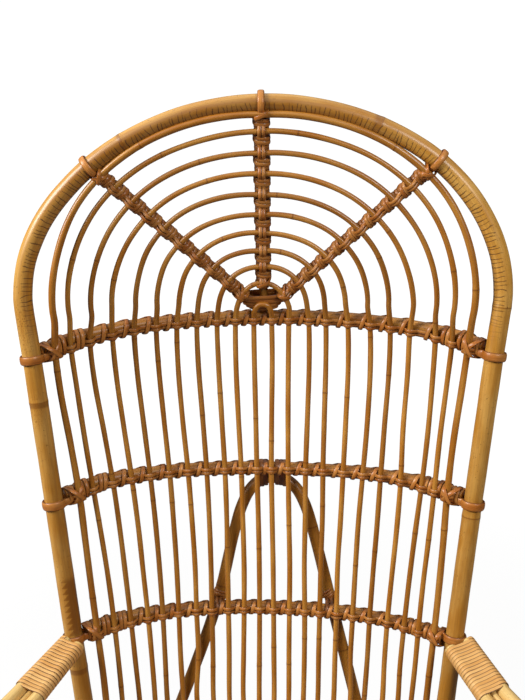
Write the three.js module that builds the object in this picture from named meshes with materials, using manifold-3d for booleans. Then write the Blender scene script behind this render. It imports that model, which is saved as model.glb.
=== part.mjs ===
// A rattan peacock chair. One thick pole is bent into the tall arched back and runs down
// as the rear legs; thin canes arch under it, cross three bowed rails and run on as the seat.
// Millimetres, +Z up, the sitter faces -Y, and the leaning back meets the floor line at y = 0.
import * as THREE from 'three';
import { mergeVertices } from 'three/addons/utils/BufferGeometryUtils.js';
import Module from 'manifold-3d';

const wasm = await Module();
wasm.setup();

// Clearance between touching pieces, and where bent canes lie on a rod
const FIT = 0.3;
const LAY = 0.6;
const ARCH_LAY = 0.8;

// Hoop: the bent main pole, its arch and its two posts
const RECLINE = 15 * Math.PI / 180;
const HOOP_R = 13.5;
const ARCH_SLANT = 1103;
const ARCH_HALF = 337.5;
const ARCH_RISE = 271.5;
const HOOP_THIN_SHARE = 0.93;
const LEG_KICK = 46;
const LEG_SPREAD = 10;
const LEG_BEND = 70;

// Rows of rails up the back: slant height, post half width, bow to the rear
const UPPER_SLANT = 1024.6;
const UPPER_HALF = 329.2;
const UPPER_BOW = 121;
const MIDDLE_SLANT = 803;
const MIDDLE_HALF = 307.2;
const MIDDLE_BOW = 94;
const LOWER_SLANT = 590;
const LOWER_HALF = 286;
const LOWER_BOW = 69;
const SEAT_SLANT = 395;
const SEAT_HALF = 267;
const SEAT_BOW = 48;
const RAIL_R = 8;

// Canes: eleven concentric arches, the outermost thicker
const CANE_R = 4;
const OUTER_CANE_R = 5;
const UPPER_SHARES = [0.0428, 0.1227, 0.2109, 0.2958, 0.3932, 0.4895, 0.5824, 0.6747, 0.7751, 0.8565, 0.914];
const MIDDLE_SHARES = [0.0375, 0.1171, 0.2068, 0.2919, 0.3886, 0.485, 0.5793, 0.6717, 0.7701, 0.8301, 0.9024];
const LOWER_SHARES = [0.0418, 0.131, 0.2139, 0.3002, 0.3914, 0.4842, 0.5646, 0.6528, 0.7376, 0.8264, 0.889];
const TOP_SHARES = [0.0633, 0.1673, 0.2496, 0.3318, 0.4194, 0.51, 0.6033, 0.6987, 0.792, 0.8867, 0.945];
const WIDEN_SHARE = 1.012;
const SPRING_SHARE = 0.15;

// Spokes from the hub on the upper rail out to the hoop
const SPOKE_R = 6.5;
const SPOKE_RISE = 191;
const SPOKE_START = 21;
const SPOKE_CENTRE_START = 0;
const HUB_SETBACK = 1.5;
const HUB_RISE = 12;

// Split cane: straps round the hoop, lashings, bindings
const STRAP_T = 1.6;
const STRAP_W = 7;
const STRAP_ROOT_SHARE = 0.7;
const LASH_T = 2;
const LASH_W = 4;
const LASH_REACH_SHARE = 0.4;
const LASH_EASE = 0.9;
const BIND_T = 1.6;
const BIND_GAP = 0.6;
const HUB_BIND_W = 2.2;
const HUB_BIND_LOW = 13;

// Rear brace, an inverted V behind the middle and lower rails
const BRACE_R = 9;
const BRACE_HALF = 89;
const BRACE_FOOT_DROP = 30;
const BRACE_FOOT_HALF = 161.8;
const BRACE_FOOT_SETBACK = 9.4;
const BRACE_CROWN_SHARES = [[0, 0], [0.3, 0.045], [0.44, 0.19], [0.6, 0.43]];

// Arms: two thick poles and a thin core, bent down in front as the legs
const ARM_R = 12;
const ARM_CORE_R = 4.5;
const ARM_SKIVE_SHARE = 0.75;
const ARM_SKIVE_END_SHARE = 0.8125;
const ARM_BIND_LENGTH = 112;
const ARM_BIND_TURNS = 17;
const ARM_OPEN = 6;
const ARM_FLARE = 70;
const ARM_SPLAY = 25 * Math.PI / 180;
const ARM_Z = 567;
const ARM_CREST = 24;
const ARM_REACH = 440;
const ARM_BOW_OUT = 95;
const ARM_NOSE = 58;
const FRONT_LEG_HALF = 352;
const FRONT_FOOT_HALF = 340;
const FRONT_LEG_RAKE = 12;
const FRONT_BIND_TURNS = 8;
const FRONT_BIND_DROP = 60;

// Seat: canes run forward over two cross rails to the front of a U-shaped ring
const SEAT_RING_R = 11;
const SEAT_FRONT_Y = -385.2;
const SEAT_FRONT_Z = 405;
const SEAT_PITCH = 6.5 * Math.PI / 180;
const SEAT_CORNER = 60;
const SEAT_BEND = 24;
const SEAT_SPREAD_SHARE = 0.93;
const CANE_OVERHANG = 12;
const CROSS_RAIL_SHARES = [0.36, 0.68];

// Stretchers between the legs
const STRETCHER_R = 9;
const STRETCHER_Z = 150;

// Facets
const HOOP_SIDES = 12;
const POLE_SIDES = 8;
const ARCH_STEPS = 11;
const STRAP_STEPS = 10;

const point = (x, y, z) => new THREE.Vector3(x, y, z);
const blend = (a, b, share) => a.clone().lerp(b, share);
const mirror = (p) => point(-p.x, p.y, p.z);
const POLE_CORNER = 1 / Math.cos(Math.PI / POLE_SIDES);
const HOOP_CORNER = HOOP_R / Math.cos(Math.PI / HOOP_SIDES);
const FORWARD = point(0, -1, 0);
const UP = point(0, 0, 1);

// A path of stations with mitred corners: ups and sides turn the section, sizes taper it and
// cuts face its ends
class Route extends THREE.Curve {
  constructor(points, { ups = [FORWARD], sides = null, sizes = null, startCut = null, endCut = null } = {}) {
    super();
    Object.assign(this, { points, ups, sides, sizes, startCut, endCut });
  }

  getPoint(t) {
    return this.points[Math.round(t * (this.points.length - 1))].clone();
  }

  getPointAt(t) {
    return this.getPoint(t);
  }

  getSpacedPoints() {
    return this.points.map((p) => p.clone());
  }

  computeFrenetFrames() {
    const last = this.points.length - 1;
    const legs = this.points.slice(1).map((p, i) => p.clone().sub(this.points[i]).normalize());
    const frames = { tangents: [], normals: [], binormals: [] };
    const carried = this.ups[0].clone();
    for (let i = 0; i <= last; i += 1) {
      const before = legs[Math.max(i - 1, 0)];
      const after = legs[Math.min(i, last - 1)];
      const tangent = before.clone().add(after).normalize();
      if (this.ups.length > 1) carried.copy(this.ups[i]);
      carried.addScaledVector(tangent, -carried.dot(tangent)).normalize();
      const turn = after.clone().sub(before).normalize();
      const stretch = 1 / before.dot(tangent) - 1;
      const cut = i === 0 ? this.startCut : i === last ? this.endCut : null;
      const size = this.sizes ? this.sizes[i] : 1;
      const across = this.sides
        ? [this.ups[i].clone(), this.sides[i].clone()]
        : [carried.clone(), tangent.clone().cross(carried)];
      for (const side of across) {
        side.addScaledVector(turn, side.dot(turn) * stretch);
        if (cut) side.addScaledVector(tangent, -side.dot(cut) / tangent.dot(cut));
        side.multiplyScalar(size);
      }
      frames.tangents.push(tangent);
      frames.normals.push(across[0]);
      frames.binormals.push(across[1]);
    }
    return frames;
  }
}

// Flats, not corners, lie on the radius, so neighbours touch flat to flat
function roundSection(radius, sides) {
  const corner = radius / Math.cos(Math.PI / sides);
  const corners = [];
  for (let i = 0; i < sides; i += 1) {
    const angle = (i + 0.5) * 2 * Math.PI / sides;
    corners.push(new THREE.Vector2(corner * Math.cos(angle), corner * Math.sin(angle)));
  }
  return new THREE.Shape(corners);
}

function stripSection(width, thickness) {
  return new THREE.Shape([
    new THREE.Vector2(-thickness / 2, -width / 2),
    new THREE.Vector2(thickness / 2, -width / 2),
    new THREE.Vector2(thickness / 2, width / 2),
    new THREE.Vector2(-thickness / 2, width / 2),
  ]);
}

// A strand's flat side lies on its route and its back is a ridge
function strandSection(width, thickness) {
  return new THREE.Shape([
    new THREE.Vector2(0, -width / 2),
    new THREE.Vector2(thickness, 0),
    new THREE.Vector2(0, width / 2),
  ]);
}

function sweep(section, route) {
  return new THREE.ExtrudeGeometry(section, { steps: route.points.length - 1, extrudePath: route });
}

function pole(points, radius, options, sides = POLE_SIDES) {
  return sweep(roundSection(radius, sides), new Route(points, options));
}

function asSolid(geometry) {
  const bare = geometry.clone();
  bare.deleteAttribute('normal');
  bare.deleteAttribute('uv');
  const merged = mergeVertices(bare);
  return new wasm.Manifold(new wasm.Mesh({
    numProp: 3,
    vertProperties: merged.attributes.position.array,
    triVerts: Uint32Array.from(merged.index.array),
  }));
}

function join(geometries) {
  const solid = geometries.map(asSolid).reduce((whole, next) => whole.add(next));
  const mesh = solid.getMesh();
  const joined = new THREE.BufferGeometry();
  joined.setAttribute('position', new THREE.BufferAttribute(mesh.vertProperties, 3));
  joined.setIndex(new THREE.BufferAttribute(mesh.triVerts, 1));
  joined.computeVertexNormals();
  return joined;
}

// Materials
function rattan(color, roughness) {
  return new THREE.MeshStandardMaterial({ color, roughness, metalness: 0 });
}
const POLE_LOOK = rattan(0xb8842f, 0.45);
const CANE_LOOK = rattan(0xa8702c, 0.42);
const SPOKE_LOOK = rattan(0x9a6630, 0.45);
const LASH_LOOK = rattan(0x96582a, 0.35);
const BIND_LOOK = rattan(0xcf9a5c, 0.4);

const chair = new THREE.Group();

function add(name, geometry, material) {
  const mesh = new THREE.Mesh(geometry, material);
  mesh.name = name;
  chair.add(mesh);
}

// Places on the leaning plane of the hoop
const SIDES = [['left', -1], ['right', 1]];
function onBack(x, slant) {
  return point(x, slant * Math.sin(RECLINE), slant * Math.cos(RECLINE));
}

function slantAt(z) {
  return z / Math.cos(RECLINE);
}

// The posts draw in toward the floor through the rail rows
const POST_ROWS = [
  [SEAT_SLANT, SEAT_HALF],
  [LOWER_SLANT, LOWER_HALF],
  [MIDDLE_SLANT, MIDDLE_HALF],
  [UPPER_SLANT, UPPER_HALF],
];

// Hoop: half of it from the crown down to the foot, then the other half
const kneeTop = onBack(SEAT_HALF, SEAT_SLANT);
const postDown = onBack(LOWER_HALF, LOWER_SLANT).sub(kneeTop).normalize().negate();
const kneeCorner = kneeTop.clone().addScaledVector(postDown, LEG_BEND);
const rearFoot = point(kneeCorner.x + LEG_SPREAD, kneeCorner.y + LEG_KICK, 0);
const legDown = rearFoot.clone().sub(kneeCorner).normalize();
const kneeEnd = kneeCorner.clone().addScaledVector(legDown, LEG_BEND);
const knee = new THREE.QuadraticBezierCurve3(
  kneeTop.clone().addScaledVector(postDown, LEG_BEND / 3),
  kneeCorner,
  kneeEnd,
);

function hoopHalf() {
  const half = [];
  for (let i = 0; i <= ARCH_STEPS; i += 1) {
    const turn = (1 - i / ARCH_STEPS) * Math.PI / 2;
    half.push(onBack(ARCH_HALF * Math.cos(turn), ARCH_SLANT + ARCH_RISE * Math.sin(turn)));
  }
  for (const [slant, halfWidth] of [...POST_ROWS].reverse()) half.push(onBack(halfWidth, slant));
  half.push(...knee.getPoints(4));
  half.push(rearFoot);
  return half;
}

const hoopRight = hoopHalf();
const hoopPath = [...[...hoopRight].reverse().map(mirror), ...hoopRight.slice(1)];
const crown = hoopRight.length - 1;
const hoopSizes = hoopPath.map((p, i) => {
  const fromCrown = Math.abs(i - crown) / ARCH_STEPS;
  return fromCrown >= 1 ? 1 : HOOP_THIN_SHARE + (1 - HOOP_THIN_SHARE) * fromCrown;
});
add('back_hoop', pole(hoopPath, HOOP_R, {
  ups: [FORWARD],
  sizes: hoopSizes,
  startCut: UP,
  endCut: UP,
}, HOOP_SIDES), POLE_LOOK);

// A rail's axis: level, held at the posts and bowed to the rear
const BOW_SPAN_SHARE = 1.12;
function bowAt(x, halfWidth, depth) {
  const span = halfWidth * BOW_SPAN_SHARE;
  const rim = Math.sqrt(1 - 1 / BOW_SPAN_SHARE ** 2);
  return depth * (Math.sqrt(1 - (x / span) ** 2) - rim) / (1 - rim);
}

function railRow(slant, halfWidth, depth, shares) {
  const axis = (x) => onBack(x, slant).add(point(0, bowAt(x, halfWidth, depth), 0));
  return { slant, halfWidth, depth, axis, places: shares.map((share) => share * halfWidth) };
}

const ROWS = [
  railRow(UPPER_SLANT, UPPER_HALF, UPPER_BOW, UPPER_SHARES),
  railRow(MIDDLE_SLANT, MIDDLE_HALF, MIDDLE_BOW, MIDDLE_SHARES),
  railRow(LOWER_SLANT, LOWER_HALF, LOWER_BOW, LOWER_SHARES),
  railRow(SEAT_SLANT, SEAT_HALF, SEAT_BOW, LOWER_SHARES),
];
const caneRadius = (k) => (k === UPPER_SHARES.length - 1 ? OUTER_CANE_R : CANE_R);

// Where a cane crosses a rail: the rail's axis there, and the way out to the cane
function crossing(row, k, side) {
  const x = side * ROWS[row].places[k];
  const upperRow = ROWS[Math.max(row - 1, 0)];
  const lowerRow = ROWS[Math.max(row, 1)];
  const along = upperRow.axis(side * upperRow.places[k]).sub(lowerRow.axis(side * lowerRow.places[k]));
  along.normalize();
  if (row === 0) along.add(UP).normalize();
  const step = ROWS[row].halfWidth / ROWS.length ** 4;
  const rod = ROWS[row].axis(x + step).sub(ROWS[row].axis(x - step)).normalize();
  const out = along.clone().cross(rod).normalize();
  if (out.y > 0) out.negate();
  return { at: ROWS[row].axis(x), out, rod };
}

// A strap shaved from the end of a rod loops round the hoop and back into the rod
function strapLoop(hoopPoint, hoopAxis, rodPoint) {
  const toRod = rodPoint.clone().sub(hoopPoint);
  toRod.addScaledVector(hoopAxis, -toRod.dot(hoopAxis)).normalize();
  const sideways = hoopAxis.clone().cross(toRod);
  return (rodRadius) => {
    const round = (HOOP_CORNER + FIT + STRAP_T / 2) / Math.cos(Math.PI / STRAP_STEPS);
    const start = Math.asin(rodRadius * STRAP_ROOT_SHARE / round);
    const points = [];
    const ups = [];
    for (let i = 0; i <= STRAP_STEPS; i += 1) {
      const angle = start + (2 * Math.PI - 2 * start) * i / STRAP_STEPS;
      const outward = toRod.clone().multiplyScalar(Math.cos(angle));
      outward.addScaledVector(sideways, Math.sin(angle));
      points.push(hoopPoint.clone().addScaledVector(outward, round));
      ups.push(outward);
    }
    points.unshift(points[0].clone().addScaledVector(toRod, rodRadius));
    points.push(points[points.length - 1].clone().addScaledVector(toRod, rodRadius));
    ups.unshift(sideways.clone());
    ups.push(sideways.clone().negate());
    return sweep(stripSection(STRAP_W, STRAP_T), new Route(points, { ups }));
  };
}

// How far before a pole's axis another pole must end so that its flat end clears the round
function stopBefore(corner, axis, along, ownRadius) {
  const lean = Math.abs(along.dot(axis));
  const square = Math.sqrt(1 - lean * lean);
  return (corner + FIT) / square + ownRadius * POLE_CORNER * lean / square;
}

// Where a row's rod meets its post
function postAt(row, side) {
  const at = onBack(side * ROWS[row].halfWidth, ROWS[row].slant);
  const rows = POST_ROWS.map(([slant, halfWidth]) => onBack(side * halfWidth, slant));
  const i = Math.max(POST_ROWS.length - 2 - row, 0);
  return { at, axis: rows[i + 1].clone().sub(rows[i]).normalize() };
}

// Each rod has a station at every cane, so its flats meet the canes exactly
function rodStations(row) {
  const stations = [];
  for (const side of [-1, 1]) {
    const order = ROWS[row].places.map((place, k) => crossing(row, k, side));
    stations.push(...(side < 0 ? order.reverse() : order));
  }
  const ends = [postAt(row, -1), postAt(row, 1)];
  const last = stations.length - 1;
  const near = [stations[0], stations[last]].map((station, i) => {
    const away = station.at.clone().sub(ends[i].at).normalize();
    const stop = stopBefore(HOOP_CORNER, ends[i].axis, away, RAIL_R);
    return { at: ends[i].at.clone().addScaledVector(away, stop), out: station.out, rod: station.rod };
  });
  return [near[0], ...stations, near[1]];
}

const RAIL_NAMES = ['upper', 'middle', 'lower'];
const rods = ROWS.map((row, i) => rodStations(i));
RAIL_NAMES.forEach((name, row) => {
  const stations = rods[row];
  const rod = pole(stations.map((s) => s.at), RAIL_R, { ups: stations.map((s) => s.out) });
  const straps = [-1, 1].map((side, i) => {
    const post = postAt(row, side);
    const near = stations[i === 0 ? 0 : stations.length - 1].at;
    return strapLoop(post.at, post.axis, near)(RAIL_R);
  });
  add(`${name}_back_rail`, join([rod, ...straps]), SPOKE_LOOK);
});
add('rear_seat_rail', pole(rods[3].map((s) => s.at), RAIL_R, { ups: rods[3].map((s) => s.out) }), SPOKE_LOOK);

// Spokes: from the hub straight to the hoop
const hub = ROWS[0].axis(0).add(point(0, HUB_SETBACK, HUB_RISE));
const RIM = { half: ARCH_HALF, z: ARCH_SLANT * Math.cos(RECLINE), rise: ARCH_RISE * Math.cos(RECLINE) };

// How far a ray from the hub, seen from the front, runs to an ellipse
function rayTo(dx, dz, { half, z, rise }) {
  const a = (dx / half) ** 2 + (dz / rise) ** 2;
  const b = dz * (hub.z - z) / rise ** 2;
  const c = ((hub.z - z) / rise) ** 2 - 1;
  return (Math.sqrt(b * b - a * c) - b) / a;
}

function rimAlong(dx, dz) {
  const reach = rayTo(dx, dz, RIM);
  const z = hub.z + dz * reach;
  return onBack(dx * reach, slantAt(z));
}

const sideTurn = Math.asin(SPOKE_RISE / ARCH_RISE);
const sideRim = onBack(ARCH_HALF * Math.cos(sideTurn), ARCH_SLANT + SPOKE_RISE);
const SPOKES = [
  ['left', mirror(sideRim), SPOKE_START],
  ['centre', onBack(0, ARCH_SLANT + ARCH_RISE), SPOKE_CENTRE_START],
  ['right', sideRim, SPOKE_START],
];

// The way forward, square to a line that leaves the hub
function outFrom(place) {
  const away = place.clone().sub(hub).normalize();
  return FORWARD.clone().addScaledVector(away, -FORWARD.dot(away)).normalize();
}

// Cane arches: ellipses seen from the front, lying on the spokes; the smallest clears the hub binding
const HUB_LIFT = 2 * BIND_T + 2 * LAY;
function archShape(k) {
  const top = blend(hub, SPOKES[1][1], TOP_SHARES[k]);
  const height = top.z - ROWS[0].axis(0).z;
  return {
    half: ROWS[0].places[k] * WIDEN_SHARE,
    z: ROWS[0].axis(0).z + height * SPRING_SHARE,
    rise: height * (1 - SPRING_SHARE),
  };
}

const sideSlope = (sideRim.z - hub.z) / sideRim.x;
function archPoint(k, turn) {
  const { half, z, rise } = archShape(k);
  const x = half * Math.cos(turn);
  const height = z + rise * Math.sin(turn);
  const rim = rimAlong(x, height - hub.z);
  const onCone = hub.y + (rim.y - hub.y) * (height - hub.z) / (rim.z - hub.z);
  const lean = Math.min(Math.max((height - hub.z) / x / sideSlope, 0), 1);
  const share = x > 0 ? lean * lean * (3 - 2 * lean) : 1;
  const place = point(x, THREE.MathUtils.lerp(ROWS[0].axis(x).y, onCone, share), height);
  const out = outFrom(place);
  const under = k === 0 ? HUB_LIFT : 0;
  const lift = THREE.MathUtils.lerp(RAIL_R, SPOKE_R + under, share) + ARCH_LAY + caneRadius(k);
  return { at: place.clone().addScaledVector(out, lift), out, place };
}

function sideCrossingTurn(k) {
  const shape = archShape(k);
  const reach = rayTo(sideRim.x, sideRim.z - hub.z, shape);
  return Math.asin((hub.z + (sideRim.z - hub.z) * reach - shape.z) / shape.rise);
}

// Seat plane: it rises to the front, and every cane lies in it
const seatAt = (y) => SEAT_FRONT_Z - (y - SEAT_FRONT_Y) * Math.tan(SEAT_PITCH);
const BELOW = point(0, Math.sin(SEAT_PITCH), Math.cos(SEAT_PITCH)).negate();
const RAIL_DROP = CANE_R + FIT + RAIL_R;

const armCluster = ARM_R + FIT + ARM_CORE_R;
const RING_HALF = FRONT_LEG_HALF - armCluster - ARM_R - 2 * LAY - SEAT_RING_R;

function caneHalf(k) {
  const radius = caneRadius(k);
  const steps = k < 3 ? 2 : k < 7 ? 3 : 4;
  const side = sideCrossingTurn(k);
  const half = [];
  for (let i = 0; i < steps; i += 1) half.push(archPoint(k, Math.PI / 2 + (side - Math.PI / 2) * i / steps));
  for (let i = 0; i < steps; i += 1) half.push(archPoint(k, side * (1 - i / steps)));
  for (let row = 0; row < ROWS.length; row += 1) {
    const { at, out } = crossing(row, k, 1);
    half.push({ at: at.clone().addScaledVector(out, RAIL_R + LAY + radius), out });
  }
  const rear = half[half.length - 1];
  const before = half[half.length - 2];
  const down = rear.at.clone().sub(before.at).normalize();
  const drop = (rear.at.z - seatAt(rear.at.y)) / (-down.z - down.y * Math.tan(SEAT_PITCH));
  const corner = rear.at.clone().addScaledVector(down, drop);
  const front = point(
    LOWER_SHARES[k] * RING_HALF * SEAT_SPREAD_SHARE,
    SEAT_FRONT_Y - CANE_OVERHANG,
    seatAt(SEAT_FRONT_Y - CANE_OVERHANG),
  );
  corner.addScaledVector(BELOW, CANE_R - radius);
  front.addScaledVector(BELOW, CANE_R - radius);
  const ahead = front.clone().sub(corner).normalize();
  const bend = new THREE.QuadraticBezierCurve3(
    corner.clone().addScaledVector(down, -SEAT_BEND),
    corner,
    corner.clone().addScaledVector(ahead, SEAT_BEND),
  );
  for (const at of bend.getPoints(3)) half.push({ at, out: null });
  half.push({ at: front, out: null });
  return half;
}

for (let k = 0; k < UPPER_SHARES.length; k += 1) {
  const half = caneHalf(k).map((s) => s.at);
  const path = [...[...half].reverse().map(mirror), ...half.slice(1)];
  const number = String(k + 1).padStart(2, '0');
  add(`arch_cane_${number}`, pole(path, caneRadius(k), { ups: [UP] }), CANE_LOOK);
}

// Spoke rods carry a station at every arch they hold
function spokeStations(rim, rimAxis, start, turnOf) {
  const along = rim.clone().sub(hub).normalize();
  const length = rim.distanceTo(hub);
  const out = outFrom(rim);
  const stations = [{ at: hub.clone().addScaledVector(along, start), out, rod: along }];
  for (let k = 1; k < UPPER_SHARES.length; k += 1) {
    const place = archPoint(k, turnOf(k)).place;
    place.x *= Math.sign(rim.x);
    stations.push({ at: place, out, rod: along });
  }
  const stop = stopBefore(HOOP_CORNER, rimAxis, along, SPOKE_R);
  stations.push({ at: hub.clone().addScaledVector(along, length - stop), out, rod: along });
  return stations;
}

const spokeRods = SPOKES.map(([name, rim, start]) => {
  const turnOf = name === 'centre' ? () => Math.PI / 2 : sideCrossingTurn;
  const hand = Math.sign(rim.x);
  const tangent = hand
    ? onBack(-hand * ARCH_HALF * Math.sin(sideTurn), ARCH_RISE * Math.cos(sideTurn)).normalize()
    : point(1, 0, 0);
  const stations = spokeStations(rim, tangent, start, turnOf);
  const rod = pole([stations[0].at, stations[stations.length - 1].at], SPOKE_R, { ups: [stations[0].out] });
  const strap = strapLoop(rim, tangent, stations[0].at)(SPOKE_R);
  add(`${name}_spoke`, join([rod, strap]), SPOKE_LOOK);
  return stations;
});

// A strand that ties every cane on a rod: over the cane, under and behind the rod, up again
const LASH_SHAPE = [
  { reach: -LASH_REACH_SHARE, around: [1, Math.tan(Math.PI / 8)], side: -1 },
  { over: -1 },
  { over: 1 },
  { reach: LASH_REACH_SHARE, around: [1, -Math.tan(Math.PI / 8)], side: 1 },
  { reach: LASH_REACH_SHARE, around: [Math.tan(Math.PI / 8), -1], side: 1 },
  { reach: LASH_REACH_SHARE, around: [-1, -1], side: 1 },
  { reach: 1 - LASH_REACH_SHARE, around: [-1, 1], side: 1 },
  { reach: 1 - LASH_REACH_SHARE, around: [Math.tan(Math.PI / 8), 1], side: 1 },
];

function between(stations, index) {
  const i = Math.min(Math.floor(index), stations.length - 2);
  const share = index - i;
  const at = blend(stations[i].at, stations[i + 1].at, share);
  const out = blend(stations[i].out, stations[i + 1].out, share).normalize();
  const rod = stations[i + 1].at.clone().sub(stations[i].at).normalize();
  out.addScaledVector(rod, -out.dot(rod)).normalize();
  return { at, out, rod, upward: out.clone().cross(rod) };
}

function lashing(stations, rodRadius, first, last, radiusOf, easeOf) {
  const points = [];
  const ups = [];
  const sides = [];
  const round = rodRadius + LAY;
  for (let j = first; j <= last; j += 1) {
    const cane = radiusOf(j);
    for (const step of LASH_SHAPE) {
      if (step.over) {
        const { at, out, rod, upward } = between(stations, j);
        const lift = round + 2 * cane + LAY + easeOf(j);
        points.push(at.clone().addScaledVector(out, lift).addScaledVector(rod, step.over * (cane + FIT)));
        ups.push(out);
        sides.push(upward.negate());
      } else {
        const { at, out, rod, upward } = between(stations, j + step.reach);
        const outward = out.clone().multiplyScalar(step.around[0]).addScaledVector(upward, step.around[1]);
        const ease = step.around[0] === 1 ? LASH_EASE : 0;
        points.push(at.clone().addScaledVector(outward, round).addScaledVector(out, ease));
        ups.push(outward.normalize());
        sides.push(ease ? rod.clone().add(upward).normalize().negate() : rod.clone().negate());
      }
    }
  }
  const kept = points.length - 3;
  return { points: points.slice(0, kept), ups: ups.slice(0, kept), sides: sides.slice(0, kept) };
}

// The least distance between parts of a strand that aren't neighbours
function leastGap({ points }, apart, thickness) {
  let least = Infinity;
  for (let i = 0; i < points.length; i += 1) {
    for (let j = i + apart; j < points.length; j += 1) {
      least = Math.min(least, points[i].distanceTo(points[j]));
    }
  }
  return least - thickness;
}

function addLashing(name, stations, rodRadius, first, last, radiusOf, easeOf) {
  const strand = lashing(stations, rodRadius, first, last, radiusOf, easeOf);
  console.log(name, 'least gap to itself', leastGap(strand, LASH_SHAPE.length, LASH_W).toFixed(2));
  add(name, sweep(strandSection(LASH_W, LASH_T), new Route(strand.points, strand)), LASH_LOOK);
}

const railCanes = UPPER_SHARES.length;
const railRadius = (j) => caneRadius(j <= railCanes ? railCanes - j : j - railCanes - 1);
RAIL_NAMES.forEach((name, row) => {
  const atHub = (j) => row === 0 && (j === railCanes || j === railCanes + 1);
  const easeOf = (j) => (atHub(j) ? LASH_EASE + HUB_LIFT / 2 : LASH_EASE);
  addLashing(`${name}_rail_lashing`, rods[row], RAIL_R, 1, 2 * railCanes, railRadius, easeOf);
});
SPOKES.forEach(([name], i) => {
  addLashing(`${name}_spoke_lashing`, spokeRods[i], SPOKE_R, 1, railCanes - 2, caneRadius, () => LASH_EASE);
});

// A flat strip wound closely round a cluster of poles that lie side by side
function winding(clusterAt, turns, width) {
  const points = [];
  const ups = [];
  const sides = [];
  const steps = turns * POLE_SIDES;
  for (let i = 0; i <= steps; i += 1) {
    const { centre, lateral, normal, spacing, sideRadius, radius } = clusterAt(i / steps);
    const angle = (i + 0.5) * 2 * Math.PI / POLE_SIDES;
    const corner = 1 / Math.cos(Math.PI / POLE_SIDES);
    const skin = FIT + BIND_T / 2;
    const across = Math.sign(Math.cos(angle)) * spacing + (sideRadius + skin) * corner * Math.cos(angle);
    points.push(centre.clone().addScaledVector(lateral, across)
      .addScaledVector(normal, (radius + skin) * corner * Math.sin(angle)));
    ups.push(lateral.clone().multiplyScalar(Math.cos(angle)).addScaledVector(normal, Math.sin(angle)));
    sides.push(normal.clone().cross(lateral));
  }
  return { points, ups, sides, width };
}

function addWinding(name, strip, material) {
  console.log(name, 'least gap to itself', leastGap(strip, POLE_SIDES, strip.width).toFixed(2));
  const section = stripSection(strip.width, BIND_T);
  add(name, sweep(section, new Route(strip.points, strip)), material);
}

// Hub: a few turns hold the feet of the three spokes together above the upper rail
const hubTurns = 3;
const hubPitch = HUB_BIND_W + BIND_GAP;
const spokeTilt = Math.atan2(sideRim.z - hub.z, sideRim.x);
const sideLean = (hub.y - sideRim.y) / (sideRim.z - hub.z);
const centreLean = (hub.y - SPOKES[1][1].y) / (SPOKES[1][1].z - hub.z);
addWinding('hub_binding', winding((share) => {
  const height = HUB_BIND_LOW + HUB_BIND_W / 2 + share * hubTurns * hubPitch;
  const forward = height * (sideLean + centreLean) / 2;
  return {
    centre: hub.clone().addScaledVector(UP, height).addScaledVector(FORWARD, forward),
    lateral: point(1, 0, 0),
    normal: FORWARD,
    spacing: (height + HUB_BIND_W / 2) / Math.tan(spokeTilt),
    sideRadius: SPOKE_R * POLE_CORNER / Math.sin(spokeTilt) + 2 * LAY,
    radius: SPOKE_R + LAY + (height + HUB_BIND_W / 2) * (sideLean - centreLean) / 2,
  };
}, hubTurns, HUB_BIND_W), LASH_LOOK);

// Brace: crown under and behind the middle rail, legs straight down behind the lower rail
const LASH_BACK = RAIL_R + LAY + LASH_T + FIT;
const middleCentre = ROWS[1].axis(0);
const crownReach = RAIL_R + LAY + (LASH_T + FIT + BRACE_R) * Math.SQRT1_2;
const braceCrown = middleCentre.clone().add(point(0, crownReach, -crownReach));
const lowerHold = ROWS[2].axis(BRACE_HALF);
const lowerOut = crossing(2, 3, 1).out;
const braceLower = lowerHold.clone().addScaledVector(lowerOut, -(LASH_BACK + BRACE_R));
const braceHalf = BRACE_CROWN_SHARES.map(([across, down]) => point(
  BRACE_HALF * across,
  THREE.MathUtils.lerp(braceCrown.y, braceLower.y, down),
  THREE.MathUtils.lerp(braceCrown.z, braceLower.z, down),
));
const braceEnd = ROWS[3].axis(BRACE_FOOT_HALF).add(point(0, BRACE_FOOT_SETBACK, -BRACE_FOOT_DROP));
const braceBend = new THREE.CatmullRomCurve3([
  ...[...braceHalf].reverse().map(mirror),
  ...braceHalf.slice(1),
], false, 'centripetal').getPoints(14);
add('rear_brace', pole([mirror(braceEnd), mirror(braceLower), ...braceBend, braceLower, braceEnd], BRACE_R, {
  ups: [FORWARD],
}), POLE_LOOK);

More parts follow.
